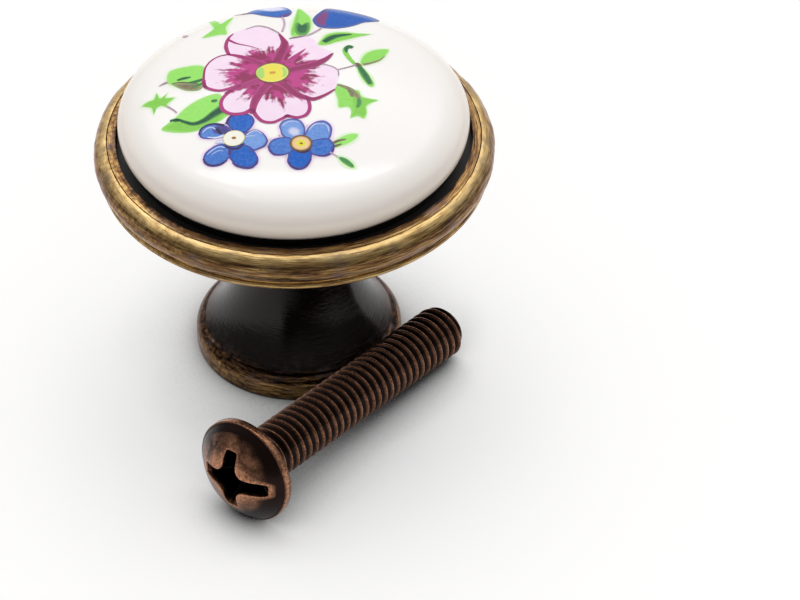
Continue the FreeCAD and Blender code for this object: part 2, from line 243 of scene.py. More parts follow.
# How far each stretch of the outline is rubbed back to the brass, from 0 to 1: wear, and in part
# painted light.
# The bead's top is rubbed most, as a painted highlight, its middle least, as painted shade where it
# mirrors the dark front, and the foot's edge further, as a painted sheen from the side light.
outline_length = station[-1]
share = add(tree, "ShaderNodeMapRange", {"Value": run, "From Max": outline_length})
rubbed_and_lit = add(tree, "ShaderNodeValToRGB", {"Fac": share.outputs[0]})
bead_run = station[13] - station[12]
set_ramp(rubbed_and_lit, [(place_on / outline_length, rub) for place_on, rub in [
    (station[3], 0.2),
    (station[4], 0.44),
    (station[5], 0.48),
    (station[5] + 0.6, 0.25),
    (station[6] + 0.4, 0.06),
    (station[6] + 1.6, 0.0),
    (station[10] - 1.2, 0.0),
    (station[10] - 0.2, 0.3),
    (station[10] + 0.25, 0.65),
    (station[11], 0.72),
    (station[12], 0.65),
    (station[12] + 0.1 * bead_run, 0.62),
    (station[12] + 0.3 * bead_run, 0.5),
    (station[12] + 0.5 * bead_run, 0.42),
    (station[12] + 0.66 * bead_run, 0.5),
    (station[12] + 0.76 * bead_run, 0.85),
    (station[12] + 0.95 * bead_run, 1.0),
    (station[14], 0.6),
    (station[15], 0.66),
    (station[15] + 0.2, 0.5),
    (station[16] - 0.12, 0.34),
    (station[16], 0.26),
    (station[16] + 0.4, 0.0),
]])
swing = add(tree, "ShaderNodeMath", {0: worked.outputs[0], 1: 2.6, 2: -1.3},
            operation="MULTIPLY_ADD")
bare_and_lit = add(tree, "ShaderNodeMath", {0: rubbed_and_lit.outputs["Color"], 1: swing.outputs[0]},
           operation="ADD", use_clamp=True)
bare_place = add(tree, "ShaderNodeMath", {0: rubbed_and_lit.outputs["Color"], 1: 6.0},
                 operation="MULTIPLY", use_clamp=True)
bare_and_lit_share = add(tree, "ShaderNodeMath", {0: bare_and_lit.outputs[0], 1: bare_place.outputs[0]},
                 operation="MULTIPLY")
plate_tone = add(tree, "ShaderNodeValToRGB", {"Fac": bare_and_lit_share.outputs[0]})
set_ramp(plate_tone, [(0.0, "#0A0706"), (0.2, "#3A281C"), (0.45, "#745636"), (0.75, "#B0905C"),
                      (1.0, "#CDB07A")])
# Painted reflection: where the floor would mirror in the rubbed brass, long grey clouds
floor_reflection_share = add(tree, "ShaderNodeMapRange", {
    "Value": cloud_noise, "From Min": 0.5, "From Max": 0.7, "To Max": 0.5})
floor_reflection = add(tree, "ShaderNodeMath", {0: floor_reflection_share.outputs[0], 1: bare_place.outputs[0]},
           operation="MULTIPLY")
# Painted reflection of the pale floor: on the rubbed brass, a grey haze in long clouds
floor_reflected_tone = add(tree, "ShaderNodeMix", {
    0: floor_reflection.outputs[0], 6: plate_tone.outputs["Color"], 7: colour("#5E5254")},
    data_type="RGBA")
plate_rough = add(tree, "ShaderNodeMapRange", {
    "Value": bare_and_lit_share.outputs[0], "To Min": 0.14, "To Max": 0.3})
plate_metal = add(tree, "ShaderNodeMapRange", {"Value": bare_place.outputs[0]})
scratches = add(tree, "ShaderNodeBump", {
    "Height": worked.outputs[0], "Strength": 0.8, "Distance": 0.04 * mm})
tree.links.new(floor_reflected_tone.outputs[2], surface.inputs["Base Color"])
tree.links.new(plate_rough.outputs[0], surface.inputs["Roughness"])
tree.links.new(plate_metal.outputs[0], surface.inputs["Metallic"])
tree.links.new(scratches.outputs[0], surface.inputs["Normal"])
surface.inputs["Specular IOR Level"].default_value = 0.28
surface.inputs["Specular Tint"].default_value = colour("#FFF4F2")
casting.data.materials.append(brass)
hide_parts("knob_body")
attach(casting, "root")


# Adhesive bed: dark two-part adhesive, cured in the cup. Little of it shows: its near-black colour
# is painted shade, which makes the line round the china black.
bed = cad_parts["adhesive_bed"]
# Two-part epoxy adhesive with a dark filler: matt and slightly lumpy, nearly black as painted shade
# of the gap
glue_lump = 2 / 3
glue, tree, surface = new_material("cured_adhesive_black_as_gap_shade")
place = add(tree, "ShaderNodeTexCoord").outputs["Object"]
lumps = add(tree, "ShaderNodeTexNoise", {
    "Vector": place, "Scale": 1 / (glue_lump * mm), "Detail": 3.0})
glue_and_gap_shade_tone = add(tree, "ShaderNodeMix", {
    0: lumps.outputs["Fac"], 6: colour("#0B0907"), 7: colour("#1A1512")}, data_type="RGBA")
glue_bump = add(tree, "ShaderNodeBump", {
    "Height": lumps.outputs["Fac"], "Strength": 0.4, "Distance": 0.05 * mm})
surface.inputs["Roughness"].default_value = 0.6
tree.links.new(glue_and_gap_shade_tone.outputs[2], surface.inputs["Base Color"])
tree.links.new(glue_bump.outputs[0], surface.inputs["Normal"])
bed.data.materials.clear()
bed.data.materials.append(glue)


# China insert: a pressed, fired and glazed button, set in the cup on its seat ring. The
# glaze is a clear gloss over white china, with the slight waviness of a fired glaze.
seat_height = 17.18
ring_radius = 11.70
ring_round = 0.30
hollow_radius = (8.90, 8.50)
hollow_height = 17.98
ring_top = 18.28
side_foot = (12.10, 18.95)
girdle = (12.42, 19.88)
shoulder_middle = (11.913, 20.853)
shoulder_start = (10.30, 21.568)
# The films of the print need this much room under the knob's full height
print_room = 0.06
crown_top = 22.78 - print_room
crown_drop = crown_top - shoulder_start[1]
crown_radius = (shoulder_start[0] ** 2 + crown_drop ** 2) / (2 * crown_drop)

insert_mesh = lathe([
    (0, hollow_height),
    (hollow_radius[1], hollow_height),
    (hollow_radius[0], seat_height),
    (ring_radius - ring_round, seat_height),
    (ring_radius, seat_height + ring_round, ring_round, -1),
    (ring_radius, ring_top),
    side_foot,
    (*girdle, 1.512, -1),
    (*shoulder_middle, 1.188, -1),
    (*shoulder_start, 4.576, -1),
    (0, crown_top, crown_radius, -1),
], grain=0.16, around=352)[0]
insert = finish_mesh(insert_mesh, "china_insert")

# Glazed white china: sharp reflections over a warm white, creamier and darker down the side, partly
# a thicker glaze and partly painted shade. Its foot is painted black, as shade where it sinks into
# the gap.
glaze_ripple = 3.85
china, tree, surface = new_material("glazed_white_china")
place = add(tree, "ShaderNodeTexCoord").outputs["Object"]
ripple = add(tree, "ShaderNodeTexNoise", {
    "Vector": place, "Scale": 1 / (glaze_ripple * mm), "Detail": 1.0})
height = add(tree, "ShaderNodeSeparateXYZ", {"Vector": place})
# Partly painted shade: the side is darker and creamier than the crown
up_side = add(tree, "ShaderNodeMapRange", {
    "Value": height.outputs["Z"], "From Min": 19.8 * mm, "From Max": 21.7 * mm})
glaze_and_side_shade_tone = add(tree, "ShaderNodeMix", {
    0: up_side.outputs[0], 6: colour("#F5E8DA"), 7: colour("#FBF8F5")}, data_type="RGBA")
# Painted shade: the china goes black below its girdle, where it sinks into the gap
gap_shade_share = add(tree, "ShaderNodeMapRange", {
    "Value": height.outputs["Z"], "From Min": 19.08 * mm, "From Max": 18.76 * mm})
body_tone = add(tree, "ShaderNodeMix", {
    0: gap_shade_share.outputs[0], 6: glaze_and_side_shade_tone.outputs[2], 7: colour("#080504")}, data_type="RGBA")
glaze_bump = add(tree, "ShaderNodeBump", {
    "Height": ripple.outputs["Fac"], "Strength": 0.25, "Distance": 0.06 * mm})
surface.inputs["Roughness"].default_value = 0.11
surface.inputs["IOR"].default_value = 1.5
tree.links.new(body_tone.outputs[2], surface.inputs["Base Color"])
tree.links.new(glaze_bump.outputs[0], surface.inputs["Normal"])
insert.data.materials.append(china)
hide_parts("ceramic_insert")
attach(insert, "root")


# Printed spray of flowers: a ceramic transfer, fired on the glaze. Each field of colour
# is a thin film that follows the crown. Outlines are in millimetres, seen from above, and
# each colour's lift off the glaze, in millimetres too, is higher than that of those it
# covers.
glaze_arcs = [
    (shoulder_start[0], Vector((0, crown_top - crown_radius)), crown_radius),
    (shoulder_middle[0], arc_centre(Vector(shoulder_middle), Vector(shoulder_start), 4.576, -1),
     4.576),
    (girdle[0], arc_centre(Vector(girdle), Vector(shoulder_middle), 1.188, -1), 1.188),
]


def on_crown(x, y, lift):
    """Point on the crown or the shoulder above this place, lifted off the glaze."""
    out = math.hypot(x, y)
    centre, bend = [(c, b) for reach, c, b in glaze_arcs if out <= reach][0]
    return Vector((x, y, centre.y + math.sqrt((bend + lift) ** 2 - (out - centre.x) ** 2)))


def smooth_point(points, where, closed):
    """Point on the smooth curve through these points, where runs over their numbers."""
    count = len(points)
    first = int(math.floor(where))
    part = where - first
    if closed:
        p0, p1, p2, p3 = (Vector(points[(first + k) % count]) for k in (-1, 0, 1, 2))
    else:
        p0, p1, p2, p3 = (Vector(points[min(max(first + k, 0), count - 1)])
                          for k in (-1, 0, 1, 2))
    return 0.5 * (2 * p1 + (p2 - p0) * part + (2 * p0 - 5 * p1 + 4 * p2 - p3) * part ** 2
                  + (3 * p1 - p0 - 3 * p2 + p3) * part ** 3)


def lay_field(bm, outline, lift, tint=0.5, around=64, rings=9):
    """Field of one colour inside a closed outline. Its edge attribute runs from 0 to 1."""
    edge = bm.verts.layers.float["edge"]
    shade = bm.verts.layers.float["tint"]
    middle = sum((Vector(p) for p in outline), Vector((0, 0))) / len(outline)
    sheet = bmesh.ops.create_grid(bm, x_segments=around, y_segments=rings, size=1)["verts"]
    for vert in sheet:
        turn = (vert.co.x + 1) / 2
        out = (vert.co.y + 1) / 2
        spot = middle.lerp(smooth_point(outline, turn * len(outline), True), out)
        vert[edge] = out
        vert[shade] = tint
        vert.co = on_crown(*spot, lift)
    bmesh.ops.remove_doubles(bm, verts=sheet, dist=1e-5)


def lay_stroke(bm, route, widths, lift, tint=0.5, steps=40):
    """Brush stroke along a route, with its width at the start, middle and end."""
    edge = bm.verts.layers.float["edge"]
    shade = bm.verts.layers.float["tint"]
    sheet = bmesh.ops.create_grid(bm, x_segments=steps, y_segments=4, size=1)["verts"]
    for vert in sheet:
        run = (vert.co.x + 1) / 2
        side = vert.co.y
        where = run * (len(route) - 1)
        spot = smooth_point(route, where, False)
        back = smooth_point(route, max(where - 0.02, 0), False)
        ahead = smooth_point(route, min(where + 0.02, len(route) - 1), False)
        across = (ahead - back).orthogonal().normalized()
        width = (widths[0] * (1 - run) * (1 - 2 * run) + widths[1] * 4 * run * (1 - run)
                 + widths[2] * run * (2 * run - 1))
        spot += across * side * max(width, 0.01) / 2
        vert[edge] = abs(side)
        vert[shade] = tint
        vert.co = on_crown(*spot, lift)


def lay_strokes(bm, strokes, lift, thin=1.0):
    """Brush strokes, each with its route, its widths and its tint. Thin narrows them all."""
    for route, widths, tint in strokes:
        lay_stroke(bm, route, [width * thin for width in widths], lift, tint)


def new_print():
    """Empty mesh with the two attributes that the print's colours read."""
    bm = bmesh.new()
    bm.verts.layers.float.new("edge")
    bm.verts.layers.float.new("tint")
    return bm


def place_print(bm, name, material):
    """Finish one colour of the print and fasten it to the china."""
    for face in bm.faces:
        face.normal_update()
        if face.normal.z < 0:
            face.normal_flip()
    for face in bm.faces:
        face.smooth = True
    bmesh.ops.scale(bm, vec=(mm, mm, mm), verts=bm.verts)
    mesh = bpy.data.meshes.new(name)
    bm.to_mesh(mesh)
    bm.free()
    piece = bpy.data.objects.new(name, mesh)
    bpy.context.scene.collection.objects.link(piece)
    mesh.materials.append(material)
    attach(piece, "root")
    return piece


def print_colour(name, dark, light, rim, rim_start, mottle, swing=0.5, gleam=0.12):
    """Fired enamel colour: two tones by tint and mottling, and a rim tone at its edge."""
    material, tree, surface = new_material(name)
    place = add(tree, "ShaderNodeTexCoord").outputs["Object"]
    edge = add(tree, "ShaderNodeAttribute", attribute_name="edge").outputs["Fac"]
    tint = add(tree, "ShaderNodeAttribute", attribute_name="tint").outputs["Fac"]
    grain = add(tree, "ShaderNodeTexNoise", {"Vector": place, "Scale": 1 / (mottle * mm),
                                             "Detail": 2.0})
    mottled = add(tree, "ShaderNodeMath", {0: grain.outputs["Fac"], 1: 2 * swing, 2: -swing},
                  operation="MULTIPLY_ADD")
    tone = add(tree, "ShaderNodeMath", {0: mottled.outputs[0], 1: tint}, operation="ADD",
               use_clamp=True)
    field = add(tree, "ShaderNodeMix", {0: tone.outputs[0], 6: colour(dark), 7: colour(light)},
                data_type="RGBA")
    at_rim = add(tree, "ShaderNodeMapRange", {"Value": edge, "From Min": rim_start},
                 interpolation_type="SMOOTHSTEP")
    enamel = add(tree, "ShaderNodeMix", {
        0: at_rim.outputs[0], 6: field.outputs[2], 7: colour(rim)}, data_type="RGBA")
    tree.links.new(enamel.outputs[2], surface.inputs["Base Color"])
    surface.inputs["Roughness"].default_value = 0.08
    surface.inputs["Specular IOR Level"].default_value = gleam
    return material


def spread(outline, by):
    """The outline, moved out from its middle by this much."""
    middle = sum((Vector(p) for p in outline), Vector((0, 0))) / len(outline)
    return [Vector(p) + (Vector(p) - middle).normalized() * by for p in outline]


leaf_outlines = [
    # upper left
    ([(-8.85, 2.76), (-8.67, 3.38), (-8.11, 3.59), (-7.52, 3.63), (-6.87, 3.63), (-6.33, 3.41),
      (-6.13, 2.89), (-6.18, 1.87), (-6.3, 1.1), (-6.63, 0.58), (-7.33, 0.66), (-8.04, 1.24),
      (-8.63, 1.71), (-8.82, 2.17)], 0.8),
    # star-shaped, far left
    ([(-10.61, -0.15), (-10.17, 0.21), (-9.77, 0.32), (-9.58, 0.98), (-9.38, 0.38),
      (-9.14, 0.41), (-8.82, 0.78), (-8.93, 0.25), (-8.3, 0.1), (-8.78, -0.43), (-8.88, -0.8),
      (-9.19, -0.57), (-9.57, -0.73), (-9.75, -1.35), (-9.93, -0.62), (-10.3, -0.36)], 0.1),
    # lower left
    ([(-5.28, -0.12), (-6.04, -0.27), (-6.86, -0.69), (-7.62, -1.34), (-8.15, -2.02),
      (-8.71, -2.55), (-9.22, -3.11), (-8.73, -3.51), (-7.92, -3.78), (-7.04, -3.88),
      (-6.11, -3.73), (-5.3, -3.24), (-4.6, -2.7), (-4.4, -2.2), (-4.5, -1.5), (-4.9, -0.6)], 0.85),
    # upper left sprig
    ([(-5.91, 10.13), (-5.67, 10.23), (-5.36, 9.86), (-4.97, 8.98), (-4.52, 9.75),
      (-4.16, 10.11), (-4.28, 9.58), (-4.67, 8.51), (-4.61, 7.49), (-5.19, 7.47),
      (-5.81, 7.33), (-6.38, 7.34), (-5.99, 7.81), (-5.51, 8.28), (-5.67, 9.17)], 0.5),
    # above the flower
    ([(0.53, 10.97), (0.73, 10.81), (1.08, 10.08), (1.39, 9.3), (1.44, 8.18), (1.31, 7.17),
      (0.99, 6.56), (0.47, 6.4), (0.02, 6.52), (-0.03, 7.26), (0.14, 8.48), (0.32, 9.69)], 0.6),
    # thin, right of it
    ([(1.87, 5.3), (2.14, 6.08), (2.51, 6.74), (3.11, 7.07), (3.83, 7.17), (4.66, 7.1),
      (5.67, 7.09), (4.76, 6.58), (3.92, 6.11), (3.2, 5.72), (2.48, 5.27)], 0.2),
    # right sprig, upper and lower leaf
    ([(4.82, 3.18), (5.07, 4.01), (5.48, 4.57), (6.08, 4.97), (6.88, 5.1), (6.56, 4.15),
      (6.1, 3.49), (5.49, 3.04), (4.96, 2.77)], 0.55),
    ([(4.55, 2.73), (4.87, 2.64), (5.17, 2.11), (5.47, 1.4), (5.72, 0.58), (5.55, 0.23),
      (5.24, 0.43), (4.91, 1.08), (4.66, 1.86)], 0.0),
    # lobed, lower right
    ([(2.94, 0.19), (3.32, 0.42), (3.75, 0.08), (4.13, -0.25), (4.61, -0.28), (4.79, -0.9),
      (5.37, -1.12), (5.94, -1.22), (5.45, -1.59), (5.09, -2.03), (5.12, -2.69), (4.89, -3.3),
      (4.45, -3.07), (3.92, -3.3), (4.07, -2.71), (3.82, -2.13), (3.17, -2.23), (3.12, -1.42),
      (2.93, -0.46)], 0.6),
    # two small ones by the right-hand blue flower
    ([(2.6, -6.0), (2.94, -5.54), (3.47, -5.11), (4.05, -4.87), (4.4, -4.94), (4.31, -5.27),
      (3.85, -5.74), (3.27, -6.09), (2.83, -6.31)], 1.0),
    ([(3.01, -7.14), (3.41, -7.22), (3.86, -7.54), (4.13, -8.05), (3.85, -8.11), (3.4, -7.79),
      (3.12, -7.45)], 0.0),
]
# The petals of the left blue flower from its top, then of the right one, clockwise
blue_petals = [
    ([(-4.66, -3.42), (-4.44, -2.88), (-4.01, -2.58), (-3.49, -2.59), (-2.95, -2.86),
      (-2.71, -3.43), (-2.9, -4.05), (-3.35, -4.6), (-3.9, -4.75), (-4.35, -4.1)], 0.05),
    ([(-3.78, -5.16), (-3.38, -4.65), (-2.7, -4.33), (-2.12, -4.75), (-1.83, -5.43),
      (-2.03, -5.97), (-2.61, -6.33), (-3.15, -6.4), (-3.7, -6.05)], 0.75),
    ([(-4.5, -6.88), (-4.6, -6.2), (-4.3, -5.7), (-3.64, -5.65), (-3.05, -5.98), (-2.75, -6.45),
      (-2.5, -7.11), (-2.57, -7.64), (-2.97, -7.95), (-3.55, -7.94), (-4.06, -7.58)], 0.05),
    ([(-6.33, -6.74), (-6.18, -6.14), (-5.72, -5.7), (-5.25, -5.45), (-4.7, -5.5),
      (-4.25, -6.0), (-4.4, -6.66), (-4.69, -7.08), (-5.15, -7.4), (-5.73, -7.43),
      (-6.13, -7.16)], 0.25),
    ([(-6.58, -4.28), (-6.46, -3.75), (-6.05, -3.42), (-5.47, -3.44), (-4.89, -3.65),
      (-4.43, -4.11), (-4.55, -4.63), (-5.02, -4.85), (-5.54, -4.88), (-6.12, -4.78),
      (-6.46, -4.6)], 0.4),
    ([(-1.01, -4.08), (-0.72, -3.59), (-0.14, -3.42), (0.44, -3.59), (0.75, -4.24),
      (0.75, -5.0), (0.4, -5.7), (-0.3, -5.6), (-0.83, -5.05), (-0.94, -4.59)], 0.75),
    ([(0.75, -4.95), (1.06, -4.24), (1.59, -3.74), (2.17, -3.67), (2.59, -4.15), (2.63, -4.81),
      (2.39, -5.52), (1.78, -5.8), (1.05, -5.8), (0.7, -5.5)], 0.6),
    ([(0.9, -5.8), (1.67, -5.48), (2.36, -5.42), (2.72, -5.95), (2.65, -6.58), (2.19, -7.1),
      (1.63, -7.11), (1.1, -6.85), (0.85, -6.3)], 0.2),
    ([(-0.46, -7.09), (-0.35, -6.5), (0.15, -6.25), (0.73, -6.25), (1.16, -6.7),
      (1.14, -7.44), (0.83, -8.05), (0.23, -8.32), (-0.28, -8.05), (-0.52, -7.55)], 0.0),
    ([(-1.79, -5.94), (-1.5, -5.45), (-0.98, -5.26), (-0.3, -5.3), (0.1, -5.85), (-0.1, -6.6),
      (-0.72, -6.96), (-1.35, -6.93), (-1.71, -6.5)], 0.3),
]

# The colours bled a little into the glaze, pale green and pink
bleeds = new_print()
for outline, tint in leaf_outlines:
    lay_field(bleeds, spread(outline, 0.3), 0.006, 0.0)
for outline, tint in blue_petals:
    lay_field(bleeds, spread(outline, 0.3), 0.008, 1.0)
place_print(bleeds, "print_bleeds", print_colour(
    "bled_pale_enamel", "#DCF4C8", "#F2DAF0", "#FBF8F5", 0.8, 0.5, swing=0.0, gleam=0.5))

# Leaves: light and yellower green fields
leaves = new_print()
for outline, tint in leaf_outlines:
    lay_field(leaves, outline, 0.012, tint)
lay_stroke(leaves, [(4.27, 4.98), (4.08, 5.14), (3.83, 4.85), (3.79, 4.39), (3.98, 3.75),
                    (4.23, 3.21), (4.55, 2.72)], (0.3, 0.4, 0.25), 0.013, 0.2)
place_print(leaves, "print_leaves", print_colour(
    "leaf_green_enamel", "#86D04E", "#A0EE70", "#AEE488", 0.84, 0.35, swing=0.25))
halves = new_print()
lay_field(halves, [(-9.19, -3.05), (-8.53, -2.61), (-7.83, -2.72), (-7.04, -3.03),
                   (-6.17, -2.95), (-5.47, -2.63), (-4.65, -2.3), (-5.03, -3.03), (-5.82, -3.45),
                   (-6.52, -3.74), (-7.3, -3.83), (-8.27, -3.55)], 0.014, 0.5)
lay_field(halves, [(4.2, -0.4), (4.6, -0.35), (4.8, -0.95), (5.37, -1.15), (5.85, -1.24),
                   (5.4, -1.57), (5.04, -2.0), (5.08, -2.69), (4.85, -3.2), (4.45, -3.0),
                   (4.02, -3.2), (4.2, -2.4), (4.1, -1.4)], 0.014, 0.5)
lay_field(halves, [(0.1, 6.7), (0.0, 7.4), (0.2, 8.5), (0.42, 9.9), (0.55, 10.7), (0.6, 9.6),
                   (0.5, 8.6), (0.4, 7.4)], 0.014, 0.5)
place_print(halves, "print_leaf_halves", print_colour(
    "grass_green_enamel", "#82CC4C", "#92DA5C", "#94E064", 0.75, 0.3))

# Shaded halves of the leaves, in grey-brown
shades = new_print()
lay_field(shades, [(-8.45, 1.7), (-7.69, 1.62), (-6.63, 1.3), (-6.25, 0.95), (-6.6, 0.52),
                   (-7.33, 0.62), (-7.95, 1.05)], 0.015, 0.4)
lay_strokes(shades, [
    ([(3.09, 0.3), (3.57, 0.1), (4.09, -0.28), (4.5, -0.92), (4.67, -1.46)],
     (0.15, 0.42, 0.2), 0.7),
    ([(3.85, -0.2), (4.1, -0.6), (4.15, -1.05)], (0.1, 0.4, 0.2), 0.5),
    ([(-8.51, 1.8), (-7.92, 1.78), (-7.2, 1.52), (-6.5, 1.2)], (0.1, 0.2, 0.12), 0.0),
    ([(2.62, -5.9), (3.05, -5.62), (3.6, -5.45)], (0.25, 0.25, 0.08), 0.2),
    ([(2.75, -6.17), (3.3, -5.9)], (0.22, 0.2, 0.05), 0.1),
    ([(5.0, 2.85), (5.6, 3.15), (6.2, 3.6), (6.6, 4.2)], (0.3, 0.18, 0.05), 0.6),
    ([(4.5, 3.0), (4.7, 2.65), (4.75, 2.4)], (0.3, 0.5, 0.3), 0.1)], 0.016)
place_print(shades, "print_leaf_shades", print_colour(
    "olive_brown_enamel", "#6A5C48", "#A09A78", "#9CAC78", 0.45, 0.25))

veins = new_print()
lay_strokes(veins, [
    ([(-8.15, 2.1), (-7.69, 2.2), (-7.15, 2.24)], (0.12, 0.36, 0.08), 0.3),
    ([(-7.35, 1.58), (-6.8, 1.6), (-6.3, 1.78)], (0.15, 0.36, 0.25), 0.3),
    ([(-7.1, 0.95), (-6.7, 1.1), (-6.3, 1.3)], (0.05, 0.25, 0.25), 0.5),
    ([(-8.62, -2.4), (-8.12, -2.36), (-7.62, -2.72), (-6.96, -3.08), (-6.22, -2.88),
      (-5.5, -2.3), (-4.75, -1.75)], (0.28, 0.4, 1.0), 0.1),
    ([(-8.4, -2.36), (-7.9, -2.5)], (0.2, 0.4, 0.1), 0.1),
    ([(-5.72, -0.9), (-5.3, -0.9)], (0.2, 0.36, 0.2), 0.5),
    ([(2.3, 5.65), (2.75, 6.2), (3.3, 6.6), (4.3, 6.9)], (0.4, 0.62, 0.1), 0.1),
    ([(4.32, 4.98), (4.08, 5.14), (3.85, 4.8), (3.86, 4.3)], (0.3, 0.42, 0.1), 0.3),
    ([(4.72, 2.6), (4.95, 1.98), (5.21, 1.3), (5.45, 0.55)], (0.3, 0.55, 0.35), 0.4),
    ([(4.58, -1.2), (4.6, -1.7), (4.45, -2.2)], (0.2, 0.35, 0.1), 0.9),
    ([(3.1, -7.22), (3.5, -7.5), (4.0, -8.0)], (0.15, 0.42, 0.2), 0.9),
], 0.018)
lay_field(veins, [(0.3, 8.3), (0.5, 8.62), (0.75, 8.2), (1.0, 8.5), (1.3, 8.55), (1.34, 7.8),
                  (1.22, 7.1), (0.97, 6.6), (0.5, 6.65), (0.25, 7.3)], 0.018, 0.3)
place_print(veins, "print_leaf_veins", print_colour(
    "dark_green_enamel", "#17503C", "#4F9A58", "#6DB456", 0.45, 0.25, swing=0.3))

# Stems and tendrils
stems = new_print()
lay_strokes(stems, [
    ([(-8.81, 2.07), (-9.17, 1.91), (-9.44, 1.76)], (0.25, 0.15, 0.05), 0.5),
    ([(-8.85, -0.7), (-8.44, -1.2), (-8.14, -1.64)], (0.16, 0.12, 0.12), 0.7),
    ([(-7.78, 8.12), (-7.58, 8.03), (-7.39, 8.04)], (0.2, 0.3, 0.15), 0.9),
    ([(-4.14, 10.45), (-3.6, 10.5), (-2.95, 10.6)], (0.05, 0.16, 0.28), 0.4),
    ([(-0.64, 9.5), (-0.52, 9.0), (-0.48, 8.25), (-0.66, 7.2)], (0.14, 0.17, 0.14), 1.0),
    ([(-0.15, 6.15), (0.37, 6.3), (1.0, 6.52)], (0.1, 0.3, 0.12), 0.1),
    ([(1.0, 6.45), (1.5, 6.9), (1.85, 7.3), (2.2, 7.75)], (0.14, 0.16, 0.14), 0.9),
    ([(3.24, 2.1), (3.83, 2.38), (4.49, 2.75)], (0.12, 0.1, 0.15), 0.6),
    ([(2.19, 2.68), (2.78, 2.44), (3.2, 1.98), (3.24, 1.35)], (0.16, 0.13, 0.1), 0.5),
    ([(2.45, -6.75), (3.01, -7.17)], (0.16, 0.1, 0.1), 0.9),
    # top edge of the upper left petal, and its fold
    ([(-3.25, 7.85), (-2.46, 8.24), (-1.75, 7.95), (-1.16, 7.33), (-0.8, 6.85)],
     (0.1, 0.2, 0.15), 0.5),
], 0.044)
place_print(stems, "print_stems", print_colour(
    "brown_mauve_enamel", "#76604E", "#C9A8C6", "#D2C2CC", 0.3, 0.3))

# Blue flowers: five round petals each, in a mottled cobalt with a violet rim
blue = new_print()
for number, (outline, tint) in enumerate(blue_petals):
    lay_field(blue, outline, 0.024 + 0.0006 * number, tint, rings=14)
place_print(blue, "print_blue_petals", print_colour(
    "cobalt_blue_enamel", "#0C60C6", "#8CB4F0", "#4A469C", 0.76, 0.2, swing=0.3))

# Their darkest brush marks, violet to black
marks = new_print()
lay_field(marks, [(-5.65, -3.85), (-5.24, -3.58), (-4.83, -3.6), (-4.43, -4.0),
                  (-4.32, -4.45), (-4.73, -4.64), (-5.13, -4.5), (-5.53, -4.28)], 0.031, 0.6)
lay_strokes(marks, [
    ([(-6.6, -4.3), (-6.45, -3.76), (-5.99, -3.42), (-5.41, -3.42), (-4.85, -3.66)],
     (0.12, 0.22, 0.3), 0.1),
    ([(-4.66, -3.55), (-4.44, -2.88), (-4.01, -2.56), (-3.49, -2.56), (-3.03, -2.86)],
     (0.3, 0.18, 0.12), 0.3),
    ([(-6.3, -6.67), (-6.13, -7.12), (-5.71, -7.4), (-5.15, -7.38), (-4.67, -7.05)],
     (0.15, 0.26, 0.15), 0.3),
    ([(-4.3, -7.3), (-4.01, -7.64), (-3.43, -7.9), (-2.92, -7.88), (-2.57, -7.4)],
     (0.12, 0.26, 0.15), 0.5),
    ([(-5.35, -3.9), (-5.2, -4.2), (-5.05, -4.5)], (0.25, 0.4, 0.2), 0.0),
    ([(-4.9, -5.62), (-4.4, -5.98), (-3.87, -6.02), (-3.45, -5.6)], (0.12, 0.3, 0.14), 0.1),
    ([(-4.45, -5.95), (-4.5, -6.6)], (0.2, 0.3, 0.15), 0.6),
    ([(-0.14, -6.3), (0.38, -6.72), (0.9, -6.65), (1.2, -6.1)], (0.12, 0.26, 0.12), 0.2),
    ([(-0.5, -7.5), (-0.22, -8.02), (0.23, -8.25), (0.75, -8.05), (1.12, -7.4)],
     (0.15, 0.26, 0.15), 0.5),
    ([(1.6, -7.08), (2.19, -7.04), (2.61, -6.63), (2.74, -6.0)], (0.12, 0.24, 0.14), 0.6),
    ([(-1.8, -6.0), (-1.67, -6.5), (-1.33, -6.88), (-0.7, -6.9)], (0.12, 0.22, 0.12), 0.7),
    ([(-3.2, -6.38), (-2.61, -6.27), (-2.05, -5.98), (-1.83, -5.4)], (0.1, 0.16, 0.1), 0.9),
], 0.032, thin=0.85)
place_print(marks, "print_blue_marks", print_colour(
    "violet_black_enamel", "#28233C", "#5C54A6", "#5656A8", 0.45, 0.12, swing=0.7))

# Where the petals catch light they are left nearly white
glints = new_print()
lay_field(glints, [(-0.44, -4.53), (-0.15, -4.25), (0.25, -4.36), (0.48, -4.73), (0.35, -5.2),
                   (-0.1, -5.2), (-0.42, -4.86)], 0.033, 0.6)
lay_strokes(glints, [
    ([(-0.78, -4.15), (-0.5, -3.82), (-0.1, -3.68), (0.35, -3.85)], (0.08, 0.14, 0.05), 0.3),
    ([(1.06, -4.6), (1.35, -4.15), (1.65, -3.98), (2.2, -4.05)], (0.06, 0.14, 0.05), 0.4),
    ([(2.0, -3.9), (2.35, -4.25), (2.42, -4.8)], (0.05, 0.12, 0.05), 0.3),
    ([(-3.3, -4.85), (-2.95, -4.55), (-2.6, -4.48), (-2.2, -4.85)], (0.1, 0.16, 0.05), 0.4),
    ([(-3.55, -5.1), (-3.1, -4.95), (-2.7, -5.0)], (0.1, 0.12, 0.05), 0.4),
    ([(-6.35, -4.15), (-6.05, -3.78), (-5.7, -3.72), (-5.45, -3.95)], (0.05, 0.14, 0.08), 0.5),
    ([(-6.0, -4.65), (-5.4, -4.8), (-4.85, -4.7), (-4.5, -4.9)], (0.08, 0.25, 0.35), 0.8),
    ([(-6.05, -6.35), (-5.65, -5.95), (-5.2, -5.72), (-4.8, -5.85)], (0.05, 0.14, 0.08), 0.3),
    ([(-5.75, -6.4), (-5.3, -6.1), (-4.9, -6.15)], (0.05, 0.1, 0.05), 0.1),
    ([(-5.5, -5.3), (-5.1, -5.22), (-4.75, -5.4)], (0.1, 0.3, 0.25), 0.9),
], 0.034)
place_print(glints, "print_blue_glints", print_colour(
    "lilac_white_enamel", "#A9BCEE", "#ECEBF9", "#96B0EA", 0.45, 0.2, swing=0.3))

